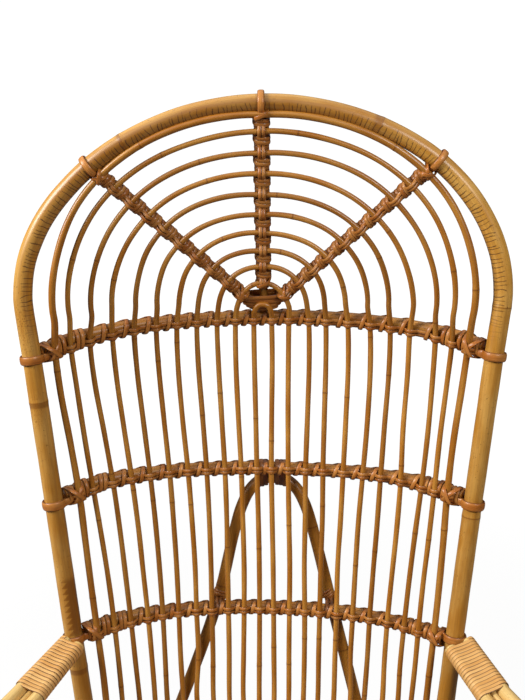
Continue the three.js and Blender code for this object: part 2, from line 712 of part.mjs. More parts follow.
// Arms: one centre line per side, its two thick poles and thin core laid beside it
function armLine() {
  const post = onBack(LOWER_HALF, LOWER_SLANT);
  const ring = HOOP_CORNER + 3 * FIT + STRAP_T;
  const heading = point(Math.sin(ARM_SPLAY), -Math.cos(ARM_SPLAY), 0);
  const ringRound = ring / Math.cos(Math.PI / STRAP_STEPS);
  const rear = point(post.x, post.y, ARM_Z).addScaledVector(heading, ringRound);
  const boundEnd = rear.clone().addScaledVector(heading, ARM_BIND_LENGTH);
  const legTop = point(FRONT_LEG_HALF, post.y - ARM_REACH, SEAT_FRONT_Z - SEAT_RING_R);
  const foot = point(FRONT_FOOT_HALF, legTop.y + FRONT_LEG_RAKE, 0);
  const crest = ARM_Z + ARM_CREST;
  const nose = point(legTop.x + ARM_NOSE / 3, legTop.y, crest);
  const out = point(post.x + ARM_BOW_OUT, (rear.y + nose.y * 2) / 3, crest);
  const flare = new THREE.CatmullRomCurve3([
    rear,
    boundEnd,
    point(THREE.MathUtils.lerp(boundEnd.x, out.x, 0.7), (boundEnd.y + out.y) / 2, (boundEnd.z + crest) / 2),
    out,
    nose.clone().add(point(0, ARM_NOSE * 1.4, 0)),
    nose.clone().add(point(-ARM_NOSE / 9, ARM_NOSE / 4, -ARM_NOSE / 3)),
    nose.clone().add(point(-ARM_NOSE / 5, 0, -ARM_NOSE * 1.4)),
    legTop,
    foot,
  ], false, 'centripetal');
  const bend = [];
  const spans = 8;
  for (const share of [1.35, 1.7, 2, 2.5, 3, 3.5, 4, 4.35, 4.7, 5, 5.4, 6]) bend.push(flare.getPoint(share / spans));
  return { rear, boundEnd, points: [rear, boundEnd, ...bend, legTop, foot], legTop, foot };
}

const arm = armLine();
const skivedR = ARM_R * ARM_SKIVE_SHARE;
const boundR = ARM_R * ARM_SKIVE_END_SHARE;
const spacings = [skivedR + FIT / 2, boundR + ARM_OPEN / 2];
const armFrames = new Route(arm.points, {
  ups: [point(Math.cos(ARM_SPLAY), Math.sin(ARM_SPLAY), 0)],
  endCut: UP,
}).computeFrenetFrames();
const fullAt = arm.points.findIndex((p) => p.distanceTo(arm.boundEnd) > ARM_FLARE && p.y < arm.boundEnd.y);

function opened(i, values, full) {
  if (i < 2) return values[i];
  const span = arm.points[fullAt].distanceTo(arm.boundEnd);
  const share = Math.min(arm.points[i].distanceTo(arm.boundEnd) / span, 1);
  return i >= fullAt ? full : THREE.MathUtils.lerp(values[1], full, share);
}

const armSpacing = arm.points.map((p, i) => opened(i, spacings, armCluster));
const armRadius = arm.points.map((p, i) => opened(i, [skivedR, boundR], ARM_R));
const coreStart = 0.75;
const coreRadius = (spacing, radius) => spacing - radius - FIT;

const bindPitch = (ARM_BIND_LENGTH - 2 * BIND_GAP) / (ARM_BIND_TURNS + 1);
const bindWidth = bindPitch - BIND_GAP;
const clusterOnBinding = (side) => (share) => {
  const along = (BIND_GAP + bindPitch / 2 + share * ARM_BIND_TURNS * bindPitch) / ARM_BIND_LENGTH;
  const centre = blend(arm.rear, arm.boundEnd, along);
  return {
    centre: side < 0 ? mirror(centre) : centre,
    lateral: point(Math.cos(ARM_SPLAY), side * Math.sin(ARM_SPLAY), 0),
    normal: UP,
    spacing: THREE.MathUtils.lerp(spacings[0], spacings[1], along),
    sideRadius: THREE.MathUtils.lerp(skivedR, boundR, along),
    radius: THREE.MathUtils.lerp(skivedR, boundR, along),
  };
};

const legAxis = arm.foot.clone().sub(arm.legTop).normalize();
const clusterOnLeg = (side) => (share) => {
  const along = FRONT_BIND_DROP + share * FRONT_BIND_TURNS * bindPitch;
  const centre = arm.legTop.clone().addScaledVector(legAxis, along);
  const lateral = armFrames.normals[armFrames.normals.length - 1].clone();
  lateral.addScaledVector(legAxis, -lateral.dot(legAxis)).normalize();
  const normal = legAxis.clone().cross(lateral);
  return {
    centre: side < 0 ? mirror(centre) : centre,
    lateral: side < 0 ? mirror(lateral) : lateral,
    normal: side < 0 ? mirror(normal) : normal,
    spacing: armCluster,
    sideRadius: ARM_R,
    radius: ARM_R,
  };
};

for (const [name, side] of SIDES) {
  const place = (p) => (side < 0 ? mirror(p) : p);
  for (const [piece, sign] of [['outer', 1], ['inner', -1]]) {
    const points = arm.points.map((p, i) => p.clone().addScaledVector(armFrames.normals[i], sign * armSpacing[i]));
    const sizes = armRadius.map((radius) => radius / ARM_R);
    const options = { ups: [place(armFrames.normals[0])], sizes, endCut: UP };
    add(`${name}_arm_${piece}_pole`, pole(points.map(place), ARM_R, options), POLE_LOOK);
  }
  const coreSizes = armSpacing.map((spacing, i) => coreRadius(spacing, armRadius[i]) / ARM_CORE_R);
  const corePoints = [blend(arm.rear, arm.boundEnd, coreStart), ...arm.points.slice(1)];
  const coreOptions = {
    ups: [place(armFrames.normals[0])],
    sizes: [THREE.MathUtils.lerp(coreSizes[0], coreSizes[1], coreStart), ...coreSizes.slice(1)],
    endCut: UP,
  };
  add(`${name}_arm_core_pole`, pole(corePoints.map(place), ARM_CORE_R, coreOptions), POLE_LOOK);
  addWinding(`${name}_arm_rear_binding`, winding(clusterOnBinding(side), ARM_BIND_TURNS, bindWidth), BIND_LOOK);
  addWinding(`${name}_arm_front_binding`, winding(clusterOnLeg(side), FRONT_BIND_TURNS, bindWidth), BIND_LOOK);
}

// Seat ring: from one post forward, round the front corners and back
const ringDrop = CANE_R + FIT + SEAT_RING_R;
const inSeat = (x, y, drop) => point(x, y, seatAt(y)).addScaledVector(BELOW, drop);
function seatRing() {
  const ringLegY = arm.legTop.y;
  const rearRow = onBack(SEAT_HALF, SEAT_SLANT).addScaledVector(postDown, LEG_BEND / 3);
  const rear = inSeat(rearRow.x, rearRow.y - HOOP_R * POLE_CORNER / Math.cos(RECLINE) - SEAT_RING_R / 2, ringDrop);
  const slope = (RING_HALF - rear.x) / (rear.y - ringLegY);
  const sideAt = (y) => rear.x + (rear.y - y) * slope;
  const cornerY = SEAT_FRONT_Y + SEAT_CORNER;
  const cornerX = sideAt(SEAT_FRONT_Y);
  const half = [rear, inSeat(sideAt(ringLegY), ringLegY, ringDrop)];
  const corner = new THREE.QuadraticBezierCurve3(
    inSeat(sideAt(cornerY), cornerY, ringDrop),
    inSeat(cornerX, SEAT_FRONT_Y, ringDrop),
    inSeat(cornerX - SEAT_CORNER, SEAT_FRONT_Y, ringDrop),
  );
  half.push(...corner.getPoints(4));
  return { points: [...half, ...[...half].reverse().map(mirror)], sideAt, slope };
}
const ring = seatRing();
add('seat_ring', pole(ring.points, SEAT_RING_R, { ups: [UP] }), POLE_LOOK);

// Cross rails lie under the seat canes between the ring's sides
['front', 'rear'].forEach((name, i) => {
  const y = THREE.MathUtils.lerp(SEAT_FRONT_Y, ring.points[0].y, CROSS_RAIL_SHARES[i]);
  const reach = ring.sideAt(y) - SEAT_RING_R * POLE_CORNER - FIT - RAIL_R * ring.slope;
  const ends = [inSeat(-reach, y, RAIL_DROP), inSeat(reach, y, RAIL_DROP)];
  add(`seat_cross_rail_${name}`, pole(ends, RAIL_R, { ups: [BELOW] }), SPOKE_LOOK);
});

// Stretchers butt between the legs
function legAt(top, foot, corner) {
  return { at: blend(foot, top, STRETCHER_Z / top.z), axis: top.clone().sub(foot).normalize(), corner };
}

const mirrorLeg = ({ at, axis, corner }) => ({ at: mirror(at), axis: mirror(axis), corner });
const rearLeg = legAt(kneeEnd, rearFoot, HOOP_CORNER);
const innerPole = [arm.points.length - 2, arm.points.length - 1]
  .map((i) => arm.points[i].clone().addScaledVector(armFrames.normals[i], -armSpacing[i]));
const frontLeg = legAt(...innerPole, ARM_R * POLE_CORNER);

function stretcher(name, from, to) {
  const along = to.at.clone().sub(from.at).normalize();
  const start = stopBefore(from.corner, from.axis, along, STRETCHER_R);
  const end = stopBefore(to.corner, to.axis, along, STRETCHER_R);
  const ends = [from.at.clone().addScaledVector(along, start), to.at.clone().addScaledVector(along, -end)];
  add(name, pole(ends, STRETCHER_R, { ups: [UP] }), POLE_LOOK);
}
stretcher('front_stretcher', mirrorLeg(frontLeg), frontLeg);
stretcher('rear_stretcher', mirrorLeg(rearLeg), rearLeg);
stretcher('left_side_stretcher', mirrorLeg(rearLeg), mirrorLeg(frontLeg));
stretcher('right_side_stretcher', rearLeg, frontLeg);

export default chair;
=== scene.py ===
# %% [markdown]
# # A rattan peacock chair
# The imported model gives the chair's solids: every pole, cane and lashing in its true place, but
# faceted. This notebook dresses them. It lays a smooth, finely sectioned piece of rattan over
# each solid and gives it the varnished, fibrous finish of the real thing. All lengths are in
# millimetres, as a chair maker would note them, and become metres when a mesh is made.

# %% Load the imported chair
import math
import bpy
import numpy as np
from mathutils import Euler, Matrix, Vector


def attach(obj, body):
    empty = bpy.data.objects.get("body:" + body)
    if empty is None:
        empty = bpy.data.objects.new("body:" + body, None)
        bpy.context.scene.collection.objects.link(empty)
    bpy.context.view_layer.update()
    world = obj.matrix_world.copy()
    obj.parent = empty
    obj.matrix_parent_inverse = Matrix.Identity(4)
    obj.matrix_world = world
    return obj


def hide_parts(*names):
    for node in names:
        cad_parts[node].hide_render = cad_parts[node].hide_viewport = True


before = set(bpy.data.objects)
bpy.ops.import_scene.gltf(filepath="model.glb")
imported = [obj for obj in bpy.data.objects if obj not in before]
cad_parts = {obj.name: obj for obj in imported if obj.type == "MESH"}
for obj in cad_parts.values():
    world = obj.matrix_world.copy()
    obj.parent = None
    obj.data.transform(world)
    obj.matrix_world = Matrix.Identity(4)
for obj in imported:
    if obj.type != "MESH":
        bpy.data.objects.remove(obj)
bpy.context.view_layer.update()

# %% [markdown]
# ## Where the viewer stands
# The photograph looks down at the back from a standing eye. A camera could be placed by eye, or
# fitted: here the rails' ends and the canes' crossings were matched to their places in the
# picture, which gives the height, the tilt and the lens in one go.

# %% Stand the camera
EYE_AT, EYE_LENS, SENSOR_WIDTH, SIGHT = (0.0209, -1.0623, 1.6743), 54.1, 36, 60
EYE_TILT, EYE_TURN, EYE_ROLL = [math.radians(angle) for angle in (26.993, 0.916, -0.640)]
eye = bpy.data.cameras.new("eye")
eye.sensor_width = SENSOR_WIDTH
eye.lens = EYE_LENS
eye.clip_end = SIGHT
viewer = bpy.data.objects.new("viewer", eye)
bpy.context.scene.collection.objects.link(viewer)
aim = Euler((math.pi / 2 - EYE_TILT, 0, EYE_TURN)).to_matrix() @ Matrix.Rotation(EYE_ROLL, 3, "Z")
viewer.location = EYE_AT
viewer.rotation_euler = aim.to_euler()
bpy.context.scene.camera = viewer
bpy.context.scene.view_settings.view_transform = "Standard"
print("camera at", tuple(viewer.location), "lens", eye.lens)

# %% [markdown]
# ## Small tools for places and directions
# Bent work is easiest to describe by a few stations along a pole and a smooth line through
# them. A Bezier curve object would do, but its points can't be given exactly. A centripetal
# Catmull-Rom line passes through every station without overshooting, so it is used here.

# %% Places and directions
MM = 0.001
FORWARD = np.array((0.0, -1.0, 0.0))
UP = np.array((0.0, 0.0, 1.0))
SEED = 11


def vec(*parts):
    return np.array(parts, float)


def unit(v):
    v = np.asarray(v, float)
    return v / np.linalg.norm(v, axis=-1, keepdims=True)


def mirrored(points):
    return np.asarray(points, float) * (-1, 1, 1)


def blend(a, b, share):
    return a + (b - a) * share


def square_to(v, along):
    """What is left of v when its part along a direction is taken away."""
    along = unit(along)
    return unit(v - along * np.sum(v * along, axis=-1, keepdims=True))


def soft(share):
    """0 to 1 with a gentle start and a gentle end."""
    return share * share * (3 - 2 * share)


def bezier(a, b, c, count):
    t = np.linspace(0, 1, count + 1)[:, None]
    return a * (1 - t) ** 2 + 2 * b * t * (1 - t) + c * t ** 2


# %% A smooth line through stations
def between(low, high, a, b, t):
    """a where t is low, b where it is high, and a straight mix of the two elsewhere."""
    return ((high - t) * a + (t - low) * b) / (high - low)


def smooth_line(stations, step):
    """Points every few millimetres along a line through the stations; extra columns ride along."""
    p = np.asarray(stations, float)
    p = np.vstack([2 * p[0] - p[1], p, 2 * p[-1] - p[-2]])
    gaps = np.linalg.norm(np.diff(p[:, :3], axis=0), axis=1)
    knots = np.concatenate([[0], np.cumsum(np.sqrt(gaps))])
    parts = []
    for i in range(1, len(p) - 2):
        t0, t1, t2, t3 = knots[i - 1:i + 3]
        count = max(1, int(math.ceil(gaps[i] / step)))
        t = np.linspace(t1, t2, count, endpoint=False)[:, None]
        first = between(t0, t1, p[i - 1], p[i], t)
        middle = between(t1, t2, p[i], p[i + 1], t)
        last = between(t2, t3, p[i + 1], p[i + 2], t)
        first, last = between(t0, t2, first, middle, t), between(t1, t3, middle, last, t)
        parts.append(between(t1, t2, first, last, t))
    parts.append(p[-2:-1])
    return np.vstack(parts)


def headings(line):
    return unit(np.gradient(line, axis=0))


def lengths(line):
    return np.concatenate([[0], np.cumsum(np.linalg.norm(np.diff(line, axis=0), axis=1))])


def carried(line, start):
    """An up direction carried along a line without twisting."""
    ups = np.empty_like(line)
    up = np.asarray(start, float)
    for i, heading in enumerate(headings(line)):
        up = square_to(up, heading)
        ups[i] = up
    return ups


# %% [markdown]
# ## The bones of the chair
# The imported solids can't tell where their centre lines run, so the lines are worked out again
# from the same measures as the solids: a reclined plane, three bowed rails, an arched hoop and
# canes that cross each rail at known places.

# %% The leaning back and its rails
RECLINE = math.radians(15)
BOW_SPAN = 1.12
HOOP_R, RAIL_R, CANE_R, OUTER_CANE_R, SPOKE_R = 13.5, 8, 4, 5, 6.5
UPPER, MIDDLE, LOWER, SEAT = 0, 1, 2, 3
# each rail's height up the slant, its half width between the posts and its bow to the rear
ROWS = [(1024.6, 329.2, 121), (803, 307.2, 94), (590, 286, 69), (395, 267, 48)]
# where the canes cross each rail, as shares of its half width
LOW_SHARES = [0.0418, 0.131, 0.2139, 0.3002, 0.3914, 0.4842, 0.5646, 0.6528, 0.7376, 0.8264, 0.905]
CANE_SHARES = [
    [0.0428, 0.1227, 0.2109, 0.2958, 0.3932, 0.4895, 0.5824, 0.6747, 0.7751, 0.8565, 0.924],
    [0.0375, 0.1171, 0.2068, 0.2919, 0.3886, 0.485, 0.5793, 0.6717, 0.7701, 0.8301, 0.9024],
    LOW_SHARES,
    LOW_SHARES,
]
# how far the canes of a hand-made back stray to the right at each rail, left legs and right legs
STRAY = {
    -1: [
        [-0.9, -2.7, -2, -5, -3.2, -2.5, -4.5, -5.8, -4.3, -4, -2.8],
        [0, 0.1, 2.3, 0.3, 1.5, 3, 2.7, 3.6, 6.3, -4, -2.1],
        [3.4, 4.6, 3.7, 2.3, 4.5, 3.5, 1.8, 4.6, 2.7, 3.1, -0.3],
        [1.6, 2.3, 1.8, 1.1, 2.3, 1.7, 0.8, 2.2, 1.3, 1.6, -0.1],
    ],
    1: [
        [-1.5, -1.4, 0.2, -1.6, -0.2, 1.3, 0.6, -1.3, 2, -1.9, -2.2],
        [-0.5, 1.3, 0.7, 1.4, 2.7, 3, 1, 2.6, 3, 3, -0.5],
        [1.5, 0.9, 1.2, 0.1, 0.2, -1.1, 2.1, 4, 5.3, 1.4, 2.3],
        [0.7, 0.5, 0.6, 0, 0.1, -0.6, 1, 1.9, 2.6, 0.7, 1.2],
    ],
}
CANES = 11


def on_back(x, slant):
    return vec(x, slant * math.sin(RECLINE), slant * math.cos(RECLINE))


def post_at(row, side=1):
    """Where a rail meets its post."""
    slant, half, _ = ROWS[row]
    return on_back(side * half, slant)


def rail_axis(row, x):
    """The middle of a rail: an elliptical bow that opens to the front."""
    slant, half, depth = ROWS[row]
    rim = math.sqrt(1 - 1 / BOW_SPAN ** 2)
    x = np.asarray(x, float)
    bow = depth * (np.sqrt(1 - (x / (half * BOW_SPAN)) ** 2) - rim) / (1 - rim)
    height = np.full_like(x, slant * math.cos(RECLINE))
    return np.stack([x, slant * math.sin(RECLINE) + bow, height], -1)


def cane_radius(k):
    return OUTER_CANE_R if k == CANES - 1 else CANE_R


def cane_x(row, k, side):
    """How far to the right of the middle a cane crosses a rail."""
    return side * CANE_SHARES[row][k] * ROWS[row][1] + STRAY[side][row][k]


def crossing(row, k, side):
    """Where a cane crosses a rail: the rail's axis there and the way out to the cane."""
    upper, lower = max(row - 1, 0), max(row, 1)
    along = rail_axis(upper, cane_x(upper, k, side)) - rail_axis(lower, cane_x(lower, k, side))
    along = unit(along)
    if row == 0:
        along = unit(along + UP)
    x = cane_x(row, k, side)
    rod = unit(rail_axis(row, x + 1) - rail_axis(row, x - 1))
    out = unit(np.cross(along, rod))
    return rail_axis(row, x), out if out[1] < 0 else -out


print("rails:", len(ROWS) - 1, "and the seat's; canes:", CANES)

# %% The hoop, its posts and its feet
ARCH_SLANT, ARCH_HALF, ARCH_RISE = 1103, 337.5, 271.5
LEG_KICK, LEG_SPREAD, LEG_BEND = 46, 10, 70
POST_ROWS = [ROWS[i][:2] for i in (SEAT, LOWER, MIDDLE, UPPER)]
knee_top = post_at(SEAT)
post_down = -unit(post_at(LOWER) - knee_top)
knee_corner = knee_top + post_down * LEG_BEND
rear_foot = vec(knee_corner[0] + LEG_SPREAD, knee_corner[1] + LEG_KICK, 0)
leg_down = unit(rear_foot - knee_corner)
knee_end = knee_corner + leg_down * LEG_BEND


def hoop_half():
    turns = np.radians(np.linspace(90, 0, 31))
    half = [on_back(ARCH_HALF * math.cos(t), ARCH_SLANT + ARCH_RISE * math.sin(t)) for t in turns]
    half += [on_back(width, slant) for slant, width in POST_ROWS[::-1]]
    half += list(bezier(knee_top + post_down * LEG_BEND / 3, knee_corner, knee_end, 4))
    return np.array(half + [rear_foot])


print("rear foot at", [round(float(c)) for c in rear_foot])

# %% The hub, the spokes and the arches
# where each cane's arch meets the centre spoke, as a share of the way from hub to crown
TOP_SHARES = [0.0633, 0.1673, 0.2496, 0.3318, 0.4194, 0.51, 0.6033, 0.6987, 0.792, 0.8867, 0.953]
WIDEN, SPRING, ARCH_LAY = 1.012, 0.15, 0.8
SPOKE_RISE = 191
HUB = rail_axis(UPPER, 0) + vec(0, 1.5, 12)
HUB_LIFT = 4.4
side_turn = math.asin(SPOKE_RISE / ARCH_RISE)
SIDE_RIM = on_back(ARCH_HALF * math.cos(side_turn), ARCH_SLANT + SPOKE_RISE)
CROWN = on_back(0, ARCH_SLANT + ARCH_RISE)
RIMS = {"left": mirrored(SIDE_RIM), "centre": CROWN, "right": SIDE_RIM}
HOOP_FRONT = (ARCH_HALF, ARCH_SLANT * math.cos(RECLINE), ARCH_RISE * math.cos(RECLINE))


def ray_to(dx, dz, ellipse):
    """How many times its own length a ray from the hub runs before it meets an upright ellipse."""
    half, z, rise = ellipse
    a = (dx / half) ** 2 + (dz / rise) ** 2
    b = dz * (HUB[2] - z) / rise ** 2
    c = ((HUB[2] - z) / rise) ** 2 - 1
    return (math.sqrt(b * b - a * c) - b) / a


def arch_shape(k):
    """Half width, height of the spring and rise of a cane's arch."""
    top = blend(HUB, CROWN, TOP_SHARES[k])
    foot_z = rail_axis(UPPER, 0)[2]
    height = top[2] - foot_z
    half = CANE_SHARES[UPPER][k] * ROWS[UPPER][1] * WIDEN
    return half, foot_z + height * SPRING, height * (1 - SPRING)


def out_from(place):
    """The way forward, square to a line that leaves the hub."""
    return square_to(FORWARD, place - HUB)


side_slope = (SIDE_RIM[2] - HUB[2]) / SIDE_RIM[0]


def arch_place(k, turn):
    """A point under cane k's arch, on the cone of the spokes, and how far the cane lies off it."""
    half, z, rise = arch_shape(k)
    x, height = half * math.cos(turn), z + rise * math.sin(turn)
    reach = ray_to(x, height - HUB[2], HOOP_FRONT)
    rim_z = HUB[2] + (height - HUB[2]) * reach
    rim_y = rim_z * math.tan(RECLINE)
    on_cone = HUB[1] + (rim_y - HUB[1]) * (height - HUB[2]) / (rim_z - HUB[2])
    lean = min(max((height - HUB[2]) / x / side_slope, 0), 1) if x > 1e-6 else 1
    share = soft(lean)
    place = vec(x, blend(rail_axis(UPPER, x)[1], on_cone, share), height)
    under = HUB_LIFT if k == 0 else 0
    lift = blend(RAIL_R, SPOKE_R + under, share) + ARCH_LAY + cane_radius(k)
    return place, out_from(place), lift


spoke_lengths = {name: round(float(np.linalg.norm(rim - HUB)), 1) for name, rim in RIMS.items()}
print("spokes from hub to hoop:", spoke_lengths)

# %% [markdown]
# ## Rolling up a pole
# A bent pole could be a curve with a bevel, but a curve gives little say over its section, its
# texture coordinates or its swellings. Here a flat grid, the same one that Add > Mesh > Grid
# gives, is rolled round the line like a sheet of paper into a tube. Its seam is then merged
# and its ends are filled in edit mode. A grid already carries a UV map. Its numbers are set so
# that across runs round the pole and up runs along it, and fibres can follow every bend.

# %% Roll a grid round a line
ROOT = "root"
MERGE_UNDER, SMOOTH_UNDER = 1e-6, math.radians(50)
luck = np.random.default_rng(SEED)


def note(sheet, mark, values, columns):
    """One number for each ring of a tube, kept on its points for the finish to read."""
    column = sheet.attributes.new(mark, "FLOAT", "POINT")
    column.data.foreach_set("value", np.repeat(np.asarray(values, np.float32), columns + 1))


def roll_up(name, line, ups, profile, sizes=None, marks=None, tint=None):
    """A closed tube: the profile goes from up toward the side, and sizes scale it at each place."""
    rows, columns = len(line), len(profile)
    heading = headings(line)
    up = square_to(ups, heading)
    side = np.cross(heading, up)
    sizes = np.ones((rows, 2)) if sizes is None else np.asarray(sizes, float)
    if sizes.ndim == 1:
        sizes = np.stack([sizes, sizes], -1)
    shape = np.vstack([profile, profile[:1]])
    places = line[:, None] + up[:, None] * shape[None, :, :1] * sizes[:, None, :1]
    places = places + side[:, None] * shape[None, :, 1:] * sizes[:, None, 1:]
    bpy.ops.object.select_all(action="DESELECT")
    bpy.ops.mesh.primitive_grid_add(x_subdivisions=columns, y_subdivisions=rows - 1, size=1)
    piece = bpy.context.object
    piece.name = name
    sheet = piece.data
    sheet.name = name
    sheet.vertices.foreach_set("co", (places * MM).ravel())
    corners = np.empty(len(sheet.loops), np.int32)
    sheet.loops.foreach_get("vertex_index", corners)
    around = lengths(shape)
    around = around / around[-1]
    ring, spoke = corners // (columns + 1), corners % (columns + 1)
    uv = np.stack([around[spoke], (lengths(line) * MM)[ring]], -1)
    sheet.uv_layers[0].data.foreach_set("uv", uv.ravel().astype(np.float32))
    tint = luck.random() if tint is None else tint
    for mark, values in {"tint": np.full(rows, tint), **(marks or {})}.items():
        note(sheet, mark, values, columns)
    bpy.ops.object.mode_set(mode="EDIT")
    bpy.ops.mesh.select_all(action="SELECT")
    bpy.ops.mesh.remove_doubles(threshold=MERGE_UNDER)
    bpy.ops.mesh.fill_holes(sides=0)
    bpy.ops.object.mode_set(mode="OBJECT")
    bpy.ops.object.shade_smooth_by_angle(angle=SMOOTH_UNDER)
    return piece


# %% Fit a piece to the chair
def bundle(name, pieces):
    """Several strands kept as one object."""
    bpy.ops.object.select_all(action="DESELECT")
    for piece in pieces:
        piece.select_set(True)
    bpy.context.view_layer.objects.active = pieces[0]
    bpy.ops.object.join()
    pieces[0].name = name
    return pieces[0]


def fit(piece, finish, slot, *solids):
    """Give a piece its finish, hide the solids it stands for and let it ride on the chair."""
    piece.data.materials.clear()
    piece.data.materials.append(finish)
    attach(piece, ROOT)
    if solids:
        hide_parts(*solids)
    print(piece.name, "faces:", len(piece.data.polygons))


# %% Sections and eased ends
# how much of a strand's thickness lies above its middle line and how much below
DOME, BELLY = 0.62, 0.38


def round_profile(radius, sides):
    angles = np.arange(sides) * 2 * math.pi / sides
    return np.stack([np.cos(angles), np.sin(angles)], -1) * radius


def strand_profile(width, thickness, sides=10):
    """A split strand: domed on top, flatter below."""
    angles = np.arange(sides) * 2 * math.pi / sides
    c, s = np.cos(angles), np.sin(angles)
    top = np.where(c > 0, DOME, BELLY) * thickness * np.sign(c) * np.abs(c) ** 0.8
    return np.stack([top, np.sign(s) * np.abs(s) ** 0.75 * width / 2], -1)


def eased(rows, count=3, least=0.55):
    """Sizes that round off both ends of a tube over its last few rings."""
    sizes = np.ones(rows)
    share = np.sqrt(np.linspace(0, 1, count + 1)[:-1])
    sizes[:count] = least + (1 - least) * share
    sizes[-count:] = sizes[:count][::-1]
    return sizes


# %% [markdown]
# ## Finishes
# All of the chair is rattan, so every finish shares the same effects: fibres that run along the
# strand, slow changes of colour, small dark specks, and the rings where leaves once grew. Each
# effect is a node group, built once and placed in every finish with its own values. It reads
# the piece's UV map. The angle round the pole is turned into a circle first, so the fibres
# have no seam. A few short helpers keep the node trees readable.

# %% Node helpers
def add_node(tree, kind, values=None, **settings):
    made = tree.nodes.new(kind)
    for setting, value in settings.items():
        setattr(made, setting, value)
    for socket, value in (values or {}).items():
        if hasattr(value, "links"):
            tree.links.new(value, made.inputs[socket])
        else:
            made.inputs[socket].default_value = value
    return made


def maths(tree, operation, *values):
    return add_node(tree, "ShaderNodeMath", dict(enumerate(values)), operation=operation).outputs[0]


def times(tree, a, b):
    return maths(tree, "MULTIPLY", a, b)


def ramp(tree, value, low, high, to_low=0.0, to_high=1.0, smooth=True):
    """Turn low to high into to_low to to_high, softly or straight."""
    made = add_node(tree, "ShaderNodeMapRange", {
        "Value": value, "From Min": low, "From Max": high, "To Min": to_low, "To Max": to_high,
    }, interpolation_type="SMOOTHSTEP" if smooth else "LINEAR")
    return made.outputs["Result"]


def mixed(tree, share, a, b):
    return add_node(tree, "ShaderNodeMix", {0: share, 6: a, 7: b}, data_type="RGBA").outputs[2]


def noise(tree, place, detail=2.0, roughness=0.5):
    made = add_node(tree, "ShaderNodeTexNoise", {
        "Vector": place, "Scale": 1.0, "Detail": detail, "Roughness": roughness,
    })
    return made.outputs["Fac"]


def xyz(tree, *parts):
    return add_node(tree, "ShaderNodeCombineXYZ", dict(enumerate(parts))).outputs[0]


def attribute(tree, name):
    return add_node(tree, "ShaderNodeAttribute", attribute_name=name).outputs["Fac"]


def uv_parts(tree):
    """How far round the pole, as a share of a turn, and how far along it, in metres."""
    uv = add_node(tree, "ShaderNodeUVMap").outputs[0]
    parts = add_node(tree, "ShaderNodeSeparateXYZ", {0: uv}).outputs
    return parts[0], parts[1]


# %% Node groups and colours
def new_group(name, inputs, outputs):
    group = bpy.data.node_groups.new(name, "ShaderNodeTree")
    for socket, value in inputs.items():
        made = group.interface.new_socket(socket, in_out="INPUT", socket_type="NodeSocketFloat")
        made.default_value = value
    for socket in outputs:
        group.interface.new_socket(socket, in_out="OUTPUT", socket_type="NodeSocketFloat")
    return group, group.nodes.new("NodeGroupInput").outputs, group.nodes.new("NodeGroupOutput").inputs


def colour(red, green, blue):
    """A colour as a paint chart gives it, from 0 to 255, made linear for the renderer."""
    parts = [c / 255 for c in (red, green, blue)]
    return [c / 12.92 if c <= 0.04045 else ((c + 0.055) / 1.055) ** 2.4 for c in parts] + [1.0]

# %% Fibre grain
def fibre_group():
    tree, source, sink = new_group(
        "rattan fibres", {"Radius": 0.008, "Fineness": 1.0}, ["Fibres", "Clouds", "Specks", "Height"])
    around, along = uv_parts(tree)
    angle = times(tree, around, 2 * math.pi)
    x = times(tree, maths(tree, "COSINE", angle), source["Radius"])
    y = times(tree, maths(tree, "SINE", angle), source["Radius"])
    # the tint moves the pattern on, so that no two pieces show the same stretch of it
    along = maths(tree, "ADD", along, times(tree, attribute(tree, "tint"), 9.0))

    def grain(across, lengthways, detail, roughness=0.5):
        across = times(tree, source["Fineness"], across)
        place = xyz(tree, times(tree, x, across), times(tree, y, across), times(tree, along, lengthways))
        return noise(tree, place, detail, roughness)

    fine = grain(900, 18, 3.0, 0.6)
    coarse = grain(260, 9, 2.0)
    clouds = grain(40, 14, 3.0, 0.55)
    dots = grain(520, 230, 1.0)
    fibres = maths(tree, "ADD", times(tree, fine, 0.6), times(tree, coarse, 0.4))
    specks = times(tree, ramp(tree, dots, 0.68, 0.74), ramp(tree, clouds, 0.35, 0.6))
    tree.links.new(ramp(tree, fibres, 0.32, 0.68), sink["Fibres"])
    tree.links.new(ramp(tree, clouds, 0.3, 0.7), sink["Clouds"])
    tree.links.new(specks, sink["Specks"])
    tree.links.new(fibres, sink["Height"])
    return tree


FIBRES = fibre_group()
print("node group", FIBRES.name, "with", len(FIBRES.nodes), "nodes")
